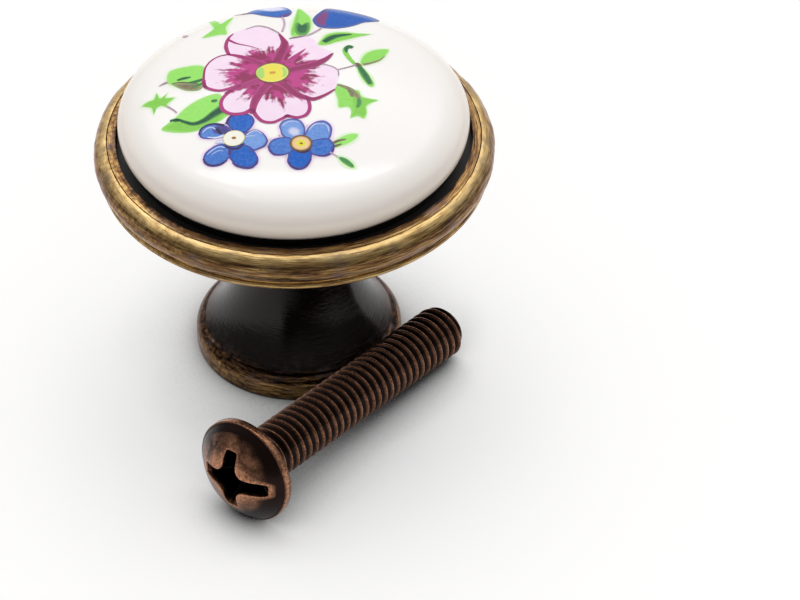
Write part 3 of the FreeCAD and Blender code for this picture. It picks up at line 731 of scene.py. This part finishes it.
# Two closed blue buds above: the left one with a lilac back, the right with a wine base
buds = new_print()
lay_field(buds, [(-3.5, 10.55), (-3.17, 10.73), (-2.46, 11.5), (-1.73, 11.82), (-1.13, 11.85),
                 (-0.53, 11.57), (-0.02, 10.7), (0.06, 10.14), (-0.18, 9.64), (-0.78, 9.46),
                 (-1.5, 9.65), (-2.22, 10.02), (-2.81, 10.39)], 0.024, 0.35)
lay_field(buds, [(1.54, 8.9), (1.73, 9.6), (2.22, 10.49), (2.84, 11.5), (3.44, 11.45),
                 (4.27, 11.18), (5.11, 10.85), (5.82, 10.4), (6.37, 9.55), (5.78, 9.07),
                 (5.18, 8.79), (4.45, 8.18), (3.6, 7.77), (2.77, 7.65), (2.06, 7.8),
                 (1.71, 8.23)], 0.024, 0.1)
place_print(buds, "print_buds", print_colour(
    "deep_blue_enamel", "#0E58B6", "#5284D0", "#5F6CAE", 0.8, 0.3, swing=0.3))
backs = new_print()
lay_field(backs, [(-2.45, 11.4), (-1.85, 11.8), (-1.13, 11.82), (-0.53, 11.4), (-0.27, 10.75),
                  (-0.77, 10.55), (-1.37, 10.5), (-1.97, 10.75)], 0.026, 0.9)
place_print(backs, "print_bud_backs", print_colour(
    "lilac_enamel", "#B4B8E6", "#DDDDF4", "#7E98D6", 0.55, 0.3, swing=0.3))
bases = new_print()
lay_field(bases, [(1.6, 8.86), (1.8, 9.6), (2.28, 10.45), (2.75, 10.7), (2.75, 9.6),
                  (2.55, 8.6), (2.5, 7.81), (2.0, 7.87), (1.74, 8.27)], 0.026, 0.5)
lay_strokes(bases, [
    ([(2.34, 10.45), (2.83, 11.1), (3.43, 11.2), (4.27, 10.9), (5.1, 10.5), (6.0, 9.95)],
     (0.3, 0.5, 0.1), 0.0),
    ([(-0.8, 9.55), (-0.45, 9.7), (-0.1, 10.1)], (0.2, 0.35, 0.2), 0.3)], 0.027)
place_print(bases, "print_bud_bases", print_colour(
    "wine_violet_enamel", "#4C4C88", "#A8367A", "#2F5CB0", 0.55, 0.12, swing=0.6))

# The large flower: pale pink petals with magenta streaks that spread from its eye
flower_centre = (-1.4, 1.77)
pink = new_print()
pink_petals = [
    [(-4.5, 4.6), (-4.65, 5.6), (-4.42, 6.9), (-4.0, 7.6), (-3.2, 8.0), (-2.45, 8.2),
     (-1.75, 7.9), (-1.1, 7.2), (-0.6, 6.1), (-0.6, 3.15), (-1.85, 2.3), (-3.05, 3.45),
     (-3.9, 4.2)],
    [(0.7, 2.1), (1.55, 2.2), (2.35, 2.6), (2.95, 2.4), (3.25, 1.85), (3.2, 1.0),
     (3.08, 0.2), (2.85, -0.3), (2.1, -0.95), (1.3, -1.25), (0.45, -0.9), (-0.5, 0.25),
     (-1.0, 1.3), (-0.2, 2.0)],
    [(-4.5, 4.5), (-5.15, 4.38), (-5.72, 3.95), (-6.12, 3.15), (-6.22, 2.2), (-6.2, 1.2),
     (-5.9, 0.55), (-5.3, 0.2), (-4.6, 0.25), (-3.5, 0.5), (-1.9, 1.3), (-1.9, 2.6),
     (-3.4, 3.9)],
    [(-4.35, -0.1), (-4.75, -0.5), (-5.0, -1.2), (-4.92, -1.95), (-4.45, -2.5), (-3.9, -2.65),
     (-3.3, -2.5), (-2.85, -2.1), (-2.5, -1.25), (-1.7, 0.3), (-2.2, 1.1), (-3.55, 0.45)],
    [(-2.7, -1.75), (-2.65, -2.75), (-2.3, -3.4), (-1.8, -3.72), (-1.2, -3.7), (-0.75, -3.35),
     (-0.4, -3.1), (0.1, -3.32), (0.65, -3.2), (1.05, -2.7), (1.15, -2.0), (1.0, -1.25),
     (0.4, -0.65), (-0.5, 0.35), (-1.4, 1.2), (-2.1, 0.15)],
    [(-0.5, 5.5), (-0.1, 6.0), (0.5, 6.35), (1.2, 6.4), (1.75, 5.75), (1.7, 4.8),
     (0.85, 3.75), (-0.1, 2.65), (-0.85, 2.3), (-0.75, 4.0)],
    [(1.65, 5.5), (1.95, 5.0), (2.5, 4.6), (2.9, 4.05), (2.45, 3.1), (1.6, 2.5), (0.8, 2.0),
     (-0.5, 1.8), (-0.6, 2.6), (0.45, 4.1)],
]
for number, outline in enumerate(pink_petals):
    lay_field(pink, outline, 0.032 + 0.0008 * number, 0.5, around=96, rings=14)

petal_pink, tree, surface = new_material("pink_and_magenta_enamel")
place = add(tree, "ShaderNodeTexCoord").outputs["Object"]
edge = add(tree, "ShaderNodeAttribute", attribute_name="edge").outputs["Fac"]
from_eye = add(tree, "ShaderNodeVectorMath", {
    0: place, 1: (-flower_centre[0] * mm, -flower_centre[1] * mm, 0)}, operation="ADD")
level = add(tree, "ShaderNodeVectorMath", {0: from_eye.outputs[0], 1: (1 / mm, 1 / mm, 0)},
            operation="MULTIPLY")
reach = add(tree, "ShaderNodeVectorMath", {0: level.outputs[0]}, operation="LENGTH")
bearing = add(tree, "ShaderNodeVectorMath", {0: level.outputs[0]}, operation="NORMALIZE")
spokes = add(tree, "ShaderNodeVectorMath", {0: bearing.outputs[0], 1: (4.5, 4.5, 4.5)},
             operation="MULTIPLY")
spoke_noise = add(tree, "ShaderNodeTexNoise", {
    "Vector": spokes.outputs[0], "Scale": 1.0, "Detail": 2.0, "Roughness": 0.6})
tone_noise = add(tree, "ShaderNodeTexNoise", {"Vector": level.outputs[0], "Scale": 0.8,
                                              "Detail": 2.0})
brush_noise = add(tree, "ShaderNodeTexNoise", {"Vector": level.outputs[0], "Scale": 2.6,
                                               "Detail": 2.0})
streak_end = add(tree, "ShaderNodeMapRange", {
    "Value": spoke_noise.outputs["Fac"], "From Min": 0.32, "From Max": 0.68,
    "To Min": 2.2, "To Max": 4.2})
frayed = add(tree, "ShaderNodeMath", {0: brush_noise.outputs["Fac"], 1: 1.6, 2: reach.outputs[1]},
             operation="MULTIPLY_ADD")
past_streak = add(tree, "ShaderNodeMath", {0: frayed.outputs[0], 1: streak_end.outputs[0]},
                  operation="SUBTRACT")
streaked = add(tree, "ShaderNodeMapRange", {
    "Value": past_streak.outputs[0], "From Min": 1.2, "From Max": 0.4},
    interpolation_type="SMOOTHSTEP")
patch = add(tree, "ShaderNodeMapRange", {
    "Value": tone_noise.outputs["Fac"], "From Min": 0.45, "From Max": 0.56},
    interpolation_type="SMOOTHSTEP")
magenta = add(tree, "ShaderNodeMix", {
    0: patch.outputs[0], 6: colour("#952A5C"), 7: colour("#C23E8A")}, data_type="RGBA")
petal_tone = add(tree, "ShaderNodeMix", {
    0: tone_noise.outputs["Fac"], 6: colour("#FBDAF5"), 7: colour("#FDECF9")},
    data_type="RGBA")
faded_edge = add(tree, "ShaderNodeMapRange", {
    "Value": edge, "From Min": 0.9, "From Max": 1.0}, interpolation_type="SMOOTHSTEP")
petal_edge = add(tree, "ShaderNodeMix", {
    0: faded_edge.outputs[0], 6: petal_tone.outputs[2], 7: colour("#FBEFF7")},
    data_type="RGBA")
enamel = add(tree, "ShaderNodeMix", {
    0: streaked.outputs[0], 6: petal_edge.outputs[2], 7: magenta.outputs[2]},
    data_type="RGBA")
tree.links.new(enamel.outputs[2], surface.inputs["Base Color"])
surface.inputs["Roughness"].default_value = 0.08
surface.inputs["Specular IOR Level"].default_value = 0.12
place_print(pink, "print_pink_petals", petal_pink)

# Magenta brush strokes round and between the petals
lines = new_print()
lay_strokes(lines, [
    ([(-4.12, 7.4), (-4.5, 6.71), (-4.66, 5.79), (-4.6, 5.07), (-4.44, 4.48)],
     (0.1, 0.34, 0.25), 0.6),
    ([(-4.5, 6.55), (-3.9, 5.9), (-3.07, 5.42), (-2.37, 4.95)], (0.3, 0.16, 0.06), 0.4),
    ([(-1.95, 2.7), (-3.05, 3.65), (-3.9, 4.22), (-4.6, 4.55)], (0.9, 0.5, 0.25), 0.4),
    ([(-4.4, 4.5), (-5.09, 4.4), (-5.68, 3.97), (-6.1, 3.2), (-6.23, 2.29), (-6.24, 1.28),
      (-6.1, 0.7)], (0.22, 0.17, 0.32), 0.25),
    ([(-6.25, 1.6), (-6.15, 0.85), (-5.69, 0.4), (-5.1, 0.17), (-4.4, 0.3), (-3.6, 0.6)],
     (0.34, 0.3, 0.4), 0.8),
    ([(-2.35, 0.95), (-3.35, 0.5), (-4.2, 0.1), (-4.75, -0.3)], (0.9, 0.5, 0.3), 0.6),
    ([(-4.2, 0.05), (-4.6, -0.3), (-4.95, -0.85), (-5.04, -1.47), (-4.85, -2.1),
      (-4.3, -2.55), (-3.5, -2.6), (-2.9, -2.25)], (0.35, 0.34, 0.42), 0.75),
    ([(-1.75, 0.45), (-2.4, -0.7), (-2.75, -1.75), (-2.85, -2.7)], (0.95, 0.75, 0.45), 0.3),
    ([(-2.9, -2.1), (-2.6, -2.93), (-2.15, -3.55), (-1.45, -3.72), (-0.83, -3.4),
      (-0.42, -3.12)], (0.4, 0.3, 0.3), 0.7),
    ([(-0.5, -3.15), (-0.2, -3.2), (0.25, -3.32), (0.82, -3.1), (1.12, -2.5), (1.1, -1.7),
      (0.85, -1.0)], (0.3, 0.32, 0.3), 0.65),
    ([(-0.72, -3.28), (-0.42, -3.08), (-0.16, -3.2)], (0.1, 0.26, 0.1), 0.0),
    ([(-0.65, 0.45), (0.14, -0.72), (0.83, -1.2), (1.47, -1.36), (2.24, -0.92),
      (2.95, -0.26)], (0.9, 0.5, 0.15), 0.15),
    ([(-0.35, 1.95), (0.55, 2.25), (1.49, 2.62), (2.33, 3.3), (2.92, 4.15)],
     (0.9, 0.8, 0.1), 0.1),
    ([(-1.1, 3.1), (-0.72, 4.3), (-0.5, 5.4), (-0.62, 6.1), (-0.9, 6.95)],
     (1.0, 0.7, 0.12), 0.1),
    ([(-0.3, 2.9), (0.4, 3.9), (1.0, 4.7)], (0.8, 0.4, 0.06), 0.8),
], 0.040, thin=0.85)
place_print(lines, "print_petal_lines", print_colour(
    "magenta_enamel", "#902C5C", "#BC4088", "#B84687", 0.35, 0.3, swing=0.25))

# Eyes of the flowers: a ring, a disc, a spot in the middle and small shades
eyes = new_print()
rings = new_print()
specks = new_print()
creams = new_print()
flower_eyes = [
    (flower_centre, 1.12, 0.12, 0.05), ((-4.17, -5.04), 0.76, 0.02, 1.0),
    ((0.47, -5.9), 0.66, 0.14, 0.0)]
for centre, radius, ring_width, tint in flower_eyes:
    circle = [Vector((centre[0] + radius * math.cos(k * math.tau / 12),
                      centre[1] + radius * math.sin(k * math.tau / 12))) for k in range(12)]
    lay_field(rings, spread(circle, ring_width), 0.043, 0.3)
    lay_field(eyes, circle, 0.046, tint)
    if centre[0] > 0:
        lay_field(creams, circle, 0.047, 0.5)
        lay_field(eyes, spread(circle, -0.32), 0.048, 0.0)
for spot, width, tint in [([(-1.6, 1.72), (-1.18, 1.78)], 0.36, 0.9),
                          ([(-4.32, -5.0), (-4.02, -5.04)], 0.26, 0.2),
                          ([(0.38, -5.92), (0.58, -5.92)], 0.2, 0.0)]:
    lay_stroke(specks, spot, (width * 0.6, width, width * 0.6), 0.05, tint)
place_print(rings, "print_eye_rings", print_colour(
    "olive_enamel", "#6A5038", "#8A6E4C", "#7C5848", 0.97, 0.3))
place_print(eyes, "print_eyes", print_colour(
    "yellow_enamel", "#F0E244", "#FDFBF0", "#F3EA86", 0.86, 0.5, swing=0.05))
place_print(creams, "print_eye_creams", print_colour(
    "apricot_enamel", "#F2CC90", "#F8DCA8", "#DDAE70", 0.75, 0.3))
place_print(specks, "print_eye_specks", print_colour(
    "orange_enamel", "#7A6024", "#DDA23A", "#E8C860", 0.6, 0.2, swing=0.2))
crescents = new_print()
for route, widths in [([(-2.2, 2.45), (-2.25, 1.8), (-2.15, 1.15)], (0.25, 0.62, 0.25)),
                      ([(-0.66, 2.35), (-0.5, 1.8), (-0.62, 1.2)], (0.2, 0.34, 0.2))]:
    lay_stroke(crescents, route, widths, 0.048, 0.5)
place_print(crescents, "print_eye_crescents", print_colour(
    "lime_enamel", "#8ED878", "#C8E26A", "#DCE060", 0.6, 0.12, swing=0.6))


# Mounting screw: an M4 pan head screw with a cross recess, cold-headed and rolled from
# steel wire, and plated with antique copper that is rubbed bright on its edges.
screw_length = 22.00
pitch = 0.70
crest_radius = 1.96
root_radius = 1.55
tip_lead = 0.45
tip_slope = 0.9
head_radius = 3.87
band_height = 0.50
head_top = 2.40
head_curve = 4.889
edge_round = 0.12
recess_reach = (2.41, 1.20)
recess_half_width = (0.525, 0.42)
recess_core = (1.05, 0.60)
recess_depth = 1.90
recess_turn = 4.50
wing_share = (0.95, 0.98, 0.87, 1.18)
lip_round = 0.10
screw_heading = 49.10
screw_tuck = 0.06
screw_back = 16.50
thread_phase = 0.564

screw_offset = foot_radius + crest_radius - screw_tuck
heading = math.radians(screw_heading)
screw_tilt = math.atan((head_radius - crest_radius) / (screw_length - tip_lead))
screw_rest = Vector((
    screw_offset * math.sin(heading) - screw_back * math.cos(heading),
    -screw_offset * math.cos(heading) - screw_back * math.sin(heading),
    head_radius * math.cos(screw_tilt)))
lay_screw = (Matrix.Translation(screw_rest)
             @ Matrix.Rotation(heading, 4, "Z")
             @ Matrix.Rotation(-(math.pi / 2 - screw_tilt), 4, "Y"))


def cross_radius(turn, reach, half_width, core):
    """Outline of the cross recess, with soft corners: its distance from the axis in this
    direction. The punch sat off the axis, so the wings differ in reach."""
    wing = round(turn / (math.pi / 2)) % 4
    turn = (turn + math.pi / 4) % (math.pi / 2) - math.pi / 4
    end = reach * wing_share[wing] / math.cos(turn)
    side = half_width / max(abs(math.sin(turn)), 1e-3)
    arm = (end ** -8 + side ** -8) ** (-1 / 8)
    return (core ** 6 + arm ** 6) ** (1 / 6)


def crown_height(radius):
    return head_top - head_curve + math.sqrt(max(head_curve ** 2 - radius ** 2, 0))


def head_point(turn, row):
    """Point of the head's skin in this direction. Rows run from the recess's bottom, up
    its wall, over its lip, down the crown and round the edge to the shank."""
    foot = cross_radius(turn, recess_reach[1], recess_half_width[1], recess_core[1])
    mouth = cross_radius(turn, recess_reach[0], recess_half_width[0], recess_core[0])
    floor_height = head_top - recess_depth
    shoulder = head_radius - edge_round
    lip_height = crown_height(mouth + lip_round)
    if row < 1:
        return row * foot, floor_height + 0.12 * (row - 1)
    if row < 2:
        part = row - 1
        return foot + (mouth - foot) * part, floor_height + (lip_height - lip_round
                                                              - floor_height) * part
    if row < 3:
        bend = (row - 2) * math.pi / 2
        return (mouth + lip_round * (1 - math.cos(bend)),
                lip_height - lip_round + lip_round * math.sin(bend))
    if row < 4:
        part = row - 3
        radius = mouth + lip_round + (shoulder - mouth - lip_round) * part
        return radius, crown_height(radius)
    if row < 5:
        bend = (row - 4) * math.pi / 2
        top = crown_height(shoulder)
        return (shoulder + edge_round * math.sin(bend),
                top - edge_round + edge_round * math.cos(bend))
    if row < 6:
        part = row - 5
        top = crown_height(shoulder) - edge_round
        return head_radius, top + (edge_round - top) * part
    if row < 7:
        bend = (row - 6) * math.pi / 2
        return (head_radius - edge_round * (1 - math.cos(bend)),
                edge_round * (1 - math.sin(bend)))
    return shoulder * (8 - row), 0.0


head_rows = [0, 0.5, 1, 1.1, 1.25, 1.4, 1.55, 1.7, 1.85, 2, 2.2, 2.4, 2.6, 2.8, 3]
head_rows += [3 + k / 24 for k in range(1, 25)]
head_rows += [4.25, 4.5, 4.75, 5, 5.33, 5.67, 6, 6.25, 6.5, 6.75, 7, 7.25, 7.5, 8]
head_mesh = bmesh.new()
wear_and_groove_shade = head_mesh.verts.layers.float.new("wear_and_groove_shade")
around_head = 240
grid = bmesh.ops.create_grid(
    head_mesh, x_segments=around_head, y_segments=len(head_rows) - 1, size=1)["verts"]
for vert in grid:
    turn = (vert.co.x + 1) * math.pi
    row = head_rows[round((vert.co.y + 1) / 2 * (len(head_rows) - 1))]
    radius, height = head_point(turn, row)
    turn += math.radians(recess_turn)
    # The recess's floor and walls go below 0: painted shade, nearly black
    vert[wear_and_groove_shade] = max(0, 1 - abs(row - 3) / 0.5, 1 - abs(row - 5.2) / 1.2) - (row < 2)
    vert.co = (radius * math.cos(turn), radius * math.sin(turn), height)
bmesh.ops.remove_doubles(head_mesh, verts=head_mesh.verts, dist=1e-5)

# The thread is one turn's outline, spun up the shank by its pitch for each turn. Rolling
# leaves its roots and crests slightly rounded.
flat_half = pitch / 16
groove_half = pitch / 8
root_round = 0.02
crest_round = 0.06
flank_height = flat_half + 0.035
thread_outline = [
    (root_radius, -pitch / 2),
    (root_radius + root_round, -pitch / 2 + groove_half),
    (crest_radius - crest_round, -flank_height),
    (crest_radius, -flat_half * 0.6),
    (crest_radius, flat_half * 0.6),
    (crest_radius - crest_round, flank_height),
    (root_radius + root_round, pitch / 2 - groove_half),
    (root_radius, pitch / 2),
]
shank_mesh = bmesh.new()
shank_mesh.verts.layers.float.new("wear_and_groove_shade")
wear_and_groove_shade = shank_mesh.verts.layers.float["wear_and_groove_shade"]
start_height = thread_phase - pitch * 34
outline_verts = []
for radius, height in thread_outline:
    vert = shank_mesh.verts.new((radius, 0, start_height + height))
    # Crests count as worn; the thread's roots go below 0 and are darkened as painted shade
    vert[wear_and_groove_shade] = 0.48 - (crest_radius - radius) / (crest_radius - root_radius)
    outline_verts.append(vert)
for before, after in zip(outline_verts[:-1], outline_verts[1:]):
    shank_mesh.edges.new((before, after))
turn_steps = 48
bmesh.ops.spin(shank_mesh, geom=shank_mesh.verts[:] + shank_mesh.edges[:], cent=(0, 0, 0),
               axis=(0, 0, 1), dvec=(0, 0, pitch / turn_steps), angle=math.tau,
               steps=turn_steps)
turns = 1
while turns < 36:
    copied = bmesh.ops.duplicate(
        shank_mesh, geom=shank_mesh.verts[:] + shank_mesh.edges[:] + shank_mesh.faces[:])["geom"]
    bmesh.ops.translate(shank_mesh, vec=(0, 0, pitch * turns),
                        verts=[v for v in copied if isinstance(v, bmesh.types.BMVert)])
    turns *= 2
bmesh.ops.remove_doubles(shank_mesh, verts=shank_mesh.verts, dist=1e-4)
for height, way in ((-screw_length, -1), (0.15, 1)):
    bmesh.ops.bisect_plane(
        shank_mesh, geom=shank_mesh.verts[:] + shank_mesh.edges[:] + shank_mesh.faces[:],
        plane_co=(0, 0, height), plane_no=(0, 0, way), clear_outer=True)
tip_start = crest_radius - tip_lead
for vert in shank_mesh.verts:
    limit = tip_start + (vert.co.z + screw_length) * tip_slope
    radius = math.hypot(vert.co.x, vert.co.y)
    if radius > limit:
        vert.co.x *= limit / radius
        vert.co.y *= limit / radius
open_edges = [e for e in shank_mesh.edges if e.is_boundary]
bmesh.ops.holes_fill(shank_mesh, edges=open_edges)

for mesh in (head_mesh, shank_mesh):
    bmesh.ops.recalc_face_normals(mesh, faces=mesh.faces)
shank_part = bpy.data.meshes.new("shank_part")
shank_mesh.to_mesh(shank_part)
shank_mesh.free()
head_mesh.from_mesh(shank_part)
bpy.data.meshes.remove(shank_part)
bmesh.ops.transform(head_mesh, matrix=lay_screw, verts=head_mesh.verts)
screw = finish_mesh(head_mesh, "cross_recess_screw", crisp=50)

# Antique copper plate over steel: a soft metallic brown. The worn value is above 0 where the dark
# skin is rubbed off, and below 0 in the cross recess and the thread's roots, which are painted
# black as shade.
copper, tree, surface = new_material("antique_copper_plate")
place = add(tree, "ShaderNodeTexCoord").outputs["Object"]
wear_and_shade_share = add(tree, "ShaderNodeAttribute", attribute_name="wear_and_groove_shade").outputs["Fac"]
screw_turn = lay_screw.to_euler()
local = add(tree, "ShaderNodeMapping", {
    "Vector": place, "Location": screw_rest * mm, "Rotation": screw_turn[:]},
    vector_type="TEXTURE")
local_mm = add(tree, "ShaderNodeVectorMath", {0: local.outputs[0], "Scale": 1 / mm},
               operation="SCALE")
parts = add(tree, "ShaderNodeSeparateXYZ", {"Vector": local_mm.outputs[0]})
across = add(tree, "ShaderNodeVectorMath", {0: local_mm.outputs[0], 1: (1, 1, 0)},
             operation="MULTIPLY")
from_axis = add(tree, "ShaderNodeVectorMath", {0: across.outputs[0]}, operation="LENGTH")
blotch = add(tree, "ShaderNodeTexNoise", {
    "Vector": local_mm.outputs[0], "Scale": 0.8, "Detail": 4.0, "Roughness": 0.6})
grit = add(tree, "ShaderNodeTexNoise", {
    "Vector": local_mm.outputs[0], "Scale": 6.0, "Detail": 3.0})
# The face is copper-brown round the recess, with a dark ring outside it
off_centre = add(tree, "ShaderNodeVectorMath", {0: across.outputs[0], 1: (0.3, 0.3, 0)},
                 operation="DISTANCE")
on_head = add(tree, "ShaderNodeMath", {0: parts.outputs["Z"], 1: 1.1}, operation="GREATER_THAN")
face_copper = add(tree, "ShaderNodeMapRange", {
    "Value": off_centre.outputs["Value"], "From Min": 3.25, "From Max": 2.45},
    interpolation_type="SMOOTHSTEP")
face_share = add(tree, "ShaderNodeMath", {
    0: face_copper.outputs[0], 1: on_head.outputs[0]}, operation="MULTIPLY")
blotch_swing = add(tree, "ShaderNodeMath", {0: blotch.outputs["Fac"], 1: 2.8, 2: -1.05},
                   operation="MULTIPLY_ADD", use_clamp=True)
face_rub = add(tree, "ShaderNodeMath", {0: face_share.outputs[0], 1: blotch_swing.outputs[0]},
               operation="MULTIPLY")
grit_swing = add(tree, "ShaderNodeMath", {0: grit.outputs["Fac"], 1: 1.8, 2: 0.0},
                 operation="MULTIPLY_ADD")
edge_rub = add(tree, "ShaderNodeMath", {0: wear_and_shade_share, 1: grit_swing.outputs[0]},
               operation="MULTIPLY", use_clamp=True)
rub = add(tree, "ShaderNodeMath", {0: face_rub.outputs[0], 1: edge_rub.outputs[0]},
          operation="MAXIMUM")
dark_tone = add(tree, "ShaderNodeMix", {
    0: blotch.outputs["Fac"], 6: colour("#100706"), 7: colour("#24130D")}, data_type="RGBA")
copper_tone = add(tree, "ShaderNodeMix", {
    0: grit.outputs["Fac"], 6: colour("#8C5039"), 7: colour("#DAA27C")}, data_type="RGBA")
plate = add(tree, "ShaderNodeMix", {
    0: rub.outputs[0], 6: dark_tone.outputs[2], 7: copper_tone.outputs[2]}, data_type="RGBA")
# Painted shade: black in the cross recess and the thread's roots
recess_shade = add(tree, "ShaderNodeMath", {0: wear_and_shade_share, 1: -1.0}, operation="MULTIPLY",
                use_clamp=True)
recess_shaded_plate = add(tree, "ShaderNodeMix", {
    0: recess_shade.outputs[0], 6: plate.outputs[2], 7: colour("#040202")}, data_type="RGBA")
plate_rough = add(tree, "ShaderNodeMapRange", {
    "Value": grit.outputs["Fac"], "To Min": 0.2, "To Max": 0.32})
dents = add(tree, "ShaderNodeBump", {
    "Height": grit.outputs["Fac"], "Strength": 0.3, "Distance": 0.03 * mm})
tree.links.new(recess_shaded_plate.outputs[2], surface.inputs["Base Color"])
tree.links.new(plate_rough.outputs[0], surface.inputs["Roughness"])
tree.links.new(dents.outputs[0], surface.inputs["Normal"])
surface.inputs["Metallic"].default_value = 0.85
screw.data.materials.append(copper)
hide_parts("mounting_screw")
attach(screw, "root")


# Floor, light and camera
floor_mesh = bmesh.new()
bmesh.ops.create_grid(floor_mesh, x_segments=1, y_segments=1, size=1500)
floor = finish_mesh(floor_mesh, "floor")
# White paper: matt and without colour. It looks white to the camera, but lights the knob
# no more than paper does, and a painted contact shadow makes it darker close to what stands on it.
paper_glow = 0.49
contact_reach = 14
paper, tree, surface = new_material("white_paper_sweep")
surface.inputs["Roughness"].default_value = 0.9
seen = add(tree, "ShaderNodeLightPath")
shown = add(tree, "ShaderNodeMath", {
    0: seen.outputs["Is Camera Ray"], 1: seen.outputs["Is Glossy Ray"]}, operation="MAXIMUM")
shown_through = add(tree, "ShaderNodeMath", {
    0: shown.outputs[0], 1: seen.outputs["Is Transmission Ray"]}, operation="MAXIMUM")
lift = add(tree, "ShaderNodeMath", {0: shown_through.outputs[0], 1: paper_glow},
           operation="MULTIPLY")
# Painted contact shadow: ambient occlusion darkens the paper's colour and its glow near the knob
contact_shadow_share = add(tree, "ShaderNodeAmbientOcclusion", {"Distance": contact_reach * mm}, samples=8)
kept_light = add(tree, "ShaderNodeMapRange", {
    "Value": contact_shadow_share.outputs["AO"], "From Min": 0.25, "From Max": 0.8})
paper_tone = add(tree, "ShaderNodeMix", {
    0: shown_through.outputs[0], 6: colour("#EDECEB"), 7: colour("#C4C3C2")}, data_type="RGBA")
shaded_paper = add(tree, "ShaderNodeMix", {
    0: kept_light.outputs[0], 6: colour("#000000"), 7: paper_tone.outputs[2]},
    data_type="RGBA")
shaded_lift = add(tree, "ShaderNodeMix", {
    0: kept_light.outputs[0], 6: colour("#000000"), 7: colour("#FFFFFF")}, data_type="RGBA")
tree.links.new(shaded_paper.outputs[2], surface.inputs["Base Color"])
tree.links.new(shaded_lift.outputs[2], surface.inputs["Emission Color"])
tree.links.new(lift.outputs[0], surface.inputs["Emission Strength"])
floor.data.materials.append(paper)


def softbox(name, place_at, along, width, height, brightness):
    """Studio lamp aimed at the knob, its width laid along a direction. Brightness 1 is as
    bright as white paper in full light."""
    lamp = bpy.data.lights.new(name, "AREA")
    lamp.shape = "RECTANGLE"
    lamp.size = width * mm
    lamp.size_y = height * mm
    lamp.energy = 4 * brightness * lamp.size * lamp.size_y
    away = (Vector(place_at) - knob_middle).normalized()
    upright = away.cross(Vector(along)).normalized()
    turn_lamp = Matrix((upright.cross(away), upright, away)).transposed()
    light = bpy.data.objects.new(name, lamp)
    light.matrix_world = Matrix.Translation(Vector(place_at) * mm) @ turn_lamp.to_4x4()
    bpy.context.scene.collection.objects.link(light)
    return light


knob_middle = Vector((0, 0, 20))
# A curved row of narrow lamps above and behind makes the bright band on the china
row_height = 580
row_setback = 0.528
row_width = 34
for number, (first, last) in enumerate([
        (-0.305, -0.266), (-0.234, -0.08), (-0.08, 0.08), (0.08, 0.236), (0.262, 0.313)]):
    middle = (first + last) / 2
    place_at = Vector((middle, row_setback + middle ** 2, 1)) * row_height + knob_middle
    along = Vector((1, 2 * middle, 0))
    softbox("row_lamp_%d" % number, place_at, along,
            (last - first) * along.length * row_height, row_width, 3.2)
softbox("thin_lamp", (-140, 134, 600), (0.1, -1, 0), 160, 7, 5.0)
# A reflector in front fills the china's shaded side, and the dark metal doesn't mirror it
fill = softbox("front_fill", (0, -450, 270), (1, 0, 0), 400, 260, 0.88)
fill.visible_glossy = False

# A large soft light above and behind the knob. The light falls off all round it, so
# the camera's side is dim.
world = bpy.data.worlds.new("studio")
bpy.context.scene.world = world
world.use_nodes = True
tree = world.node_tree
sky_way = add(tree, "ShaderNodeTexCoord").outputs["Generated"]
lamp_way = (0, math.cos(math.radians(56)), math.sin(math.radians(56)))
nearness = add(tree, "ShaderNodeVectorMath", {0: sky_way, 1: lamp_way}, operation="DOT_PRODUCT")
sky_share = add(tree, "ShaderNodeMapRange", {"Value": nearness.outputs["Value"], "From Min": -1})
sky_level = add(tree, "ShaderNodeValToRGB", {"Fac": sky_share.outputs[0]})
set_ramp(sky_level, [((near + 1) / 2, level) for near, level in [
    (-1, 0.1), (0.1, 0.12), (0.35, 0.17), (0.5, 0.25), (0.64, 0.3), (0.86, 0.45), (0.9, 0.72),
    (0.935, 1.0)]])
sky_split = add(tree, "ShaderNodeSeparateXYZ", {"Vector": sky_way})
sky_limit = add(tree, "ShaderNodeMapRange", {
    "Value": sky_split.outputs["Y"], "From Min": -0.08, "From Max": 0.24, "To Min": 0.17},
    interpolation_type="SMOOTHSTEP")
sky_light = add(tree, "ShaderNodeMath", {
    0: sky_level.outputs["Color"], 1: sky_limit.outputs[0]}, operation="MINIMUM")
tree.links.new(sky_light.outputs[0], tree.nodes["Background"].inputs["Color"])
tree.nodes["Background"].inputs["Strength"].default_value = 2.4

eye = Vector((0.0, -255.667, 220.252))
eye_yaw = 0.02891
eye_pitch = 0.70434
eye_roll = -0.00795
focal_pixels = 4607.5
picture_width = 800
camera_data = bpy.data.cameras.new("camera")
camera_data.sensor_width = 36
camera_data.lens = focal_pixels * camera_data.sensor_width / picture_width
camera_data.clip_start = 0.01
camera = bpy.data.objects.new("camera", camera_data)
ahead = Vector((math.sin(eye_yaw) * math.cos(eye_pitch),
                math.cos(eye_yaw) * math.cos(eye_pitch), -math.sin(eye_pitch)))
right = Vector((math.cos(eye_yaw), -math.sin(eye_yaw), 0))
upward = right.cross(ahead)
turn_view = Matrix((right, upward, -ahead)).transposed() @ Matrix.Rotation(eye_roll, 3, "Z")
camera.matrix_world = Matrix.Translation(eye * mm) @ turn_view.to_4x4()
bpy.context.scene.collection.objects.link(camera)
bpy.context.scene.camera = camera

bpy.context.scene.view_settings.view_transform = "Standard"
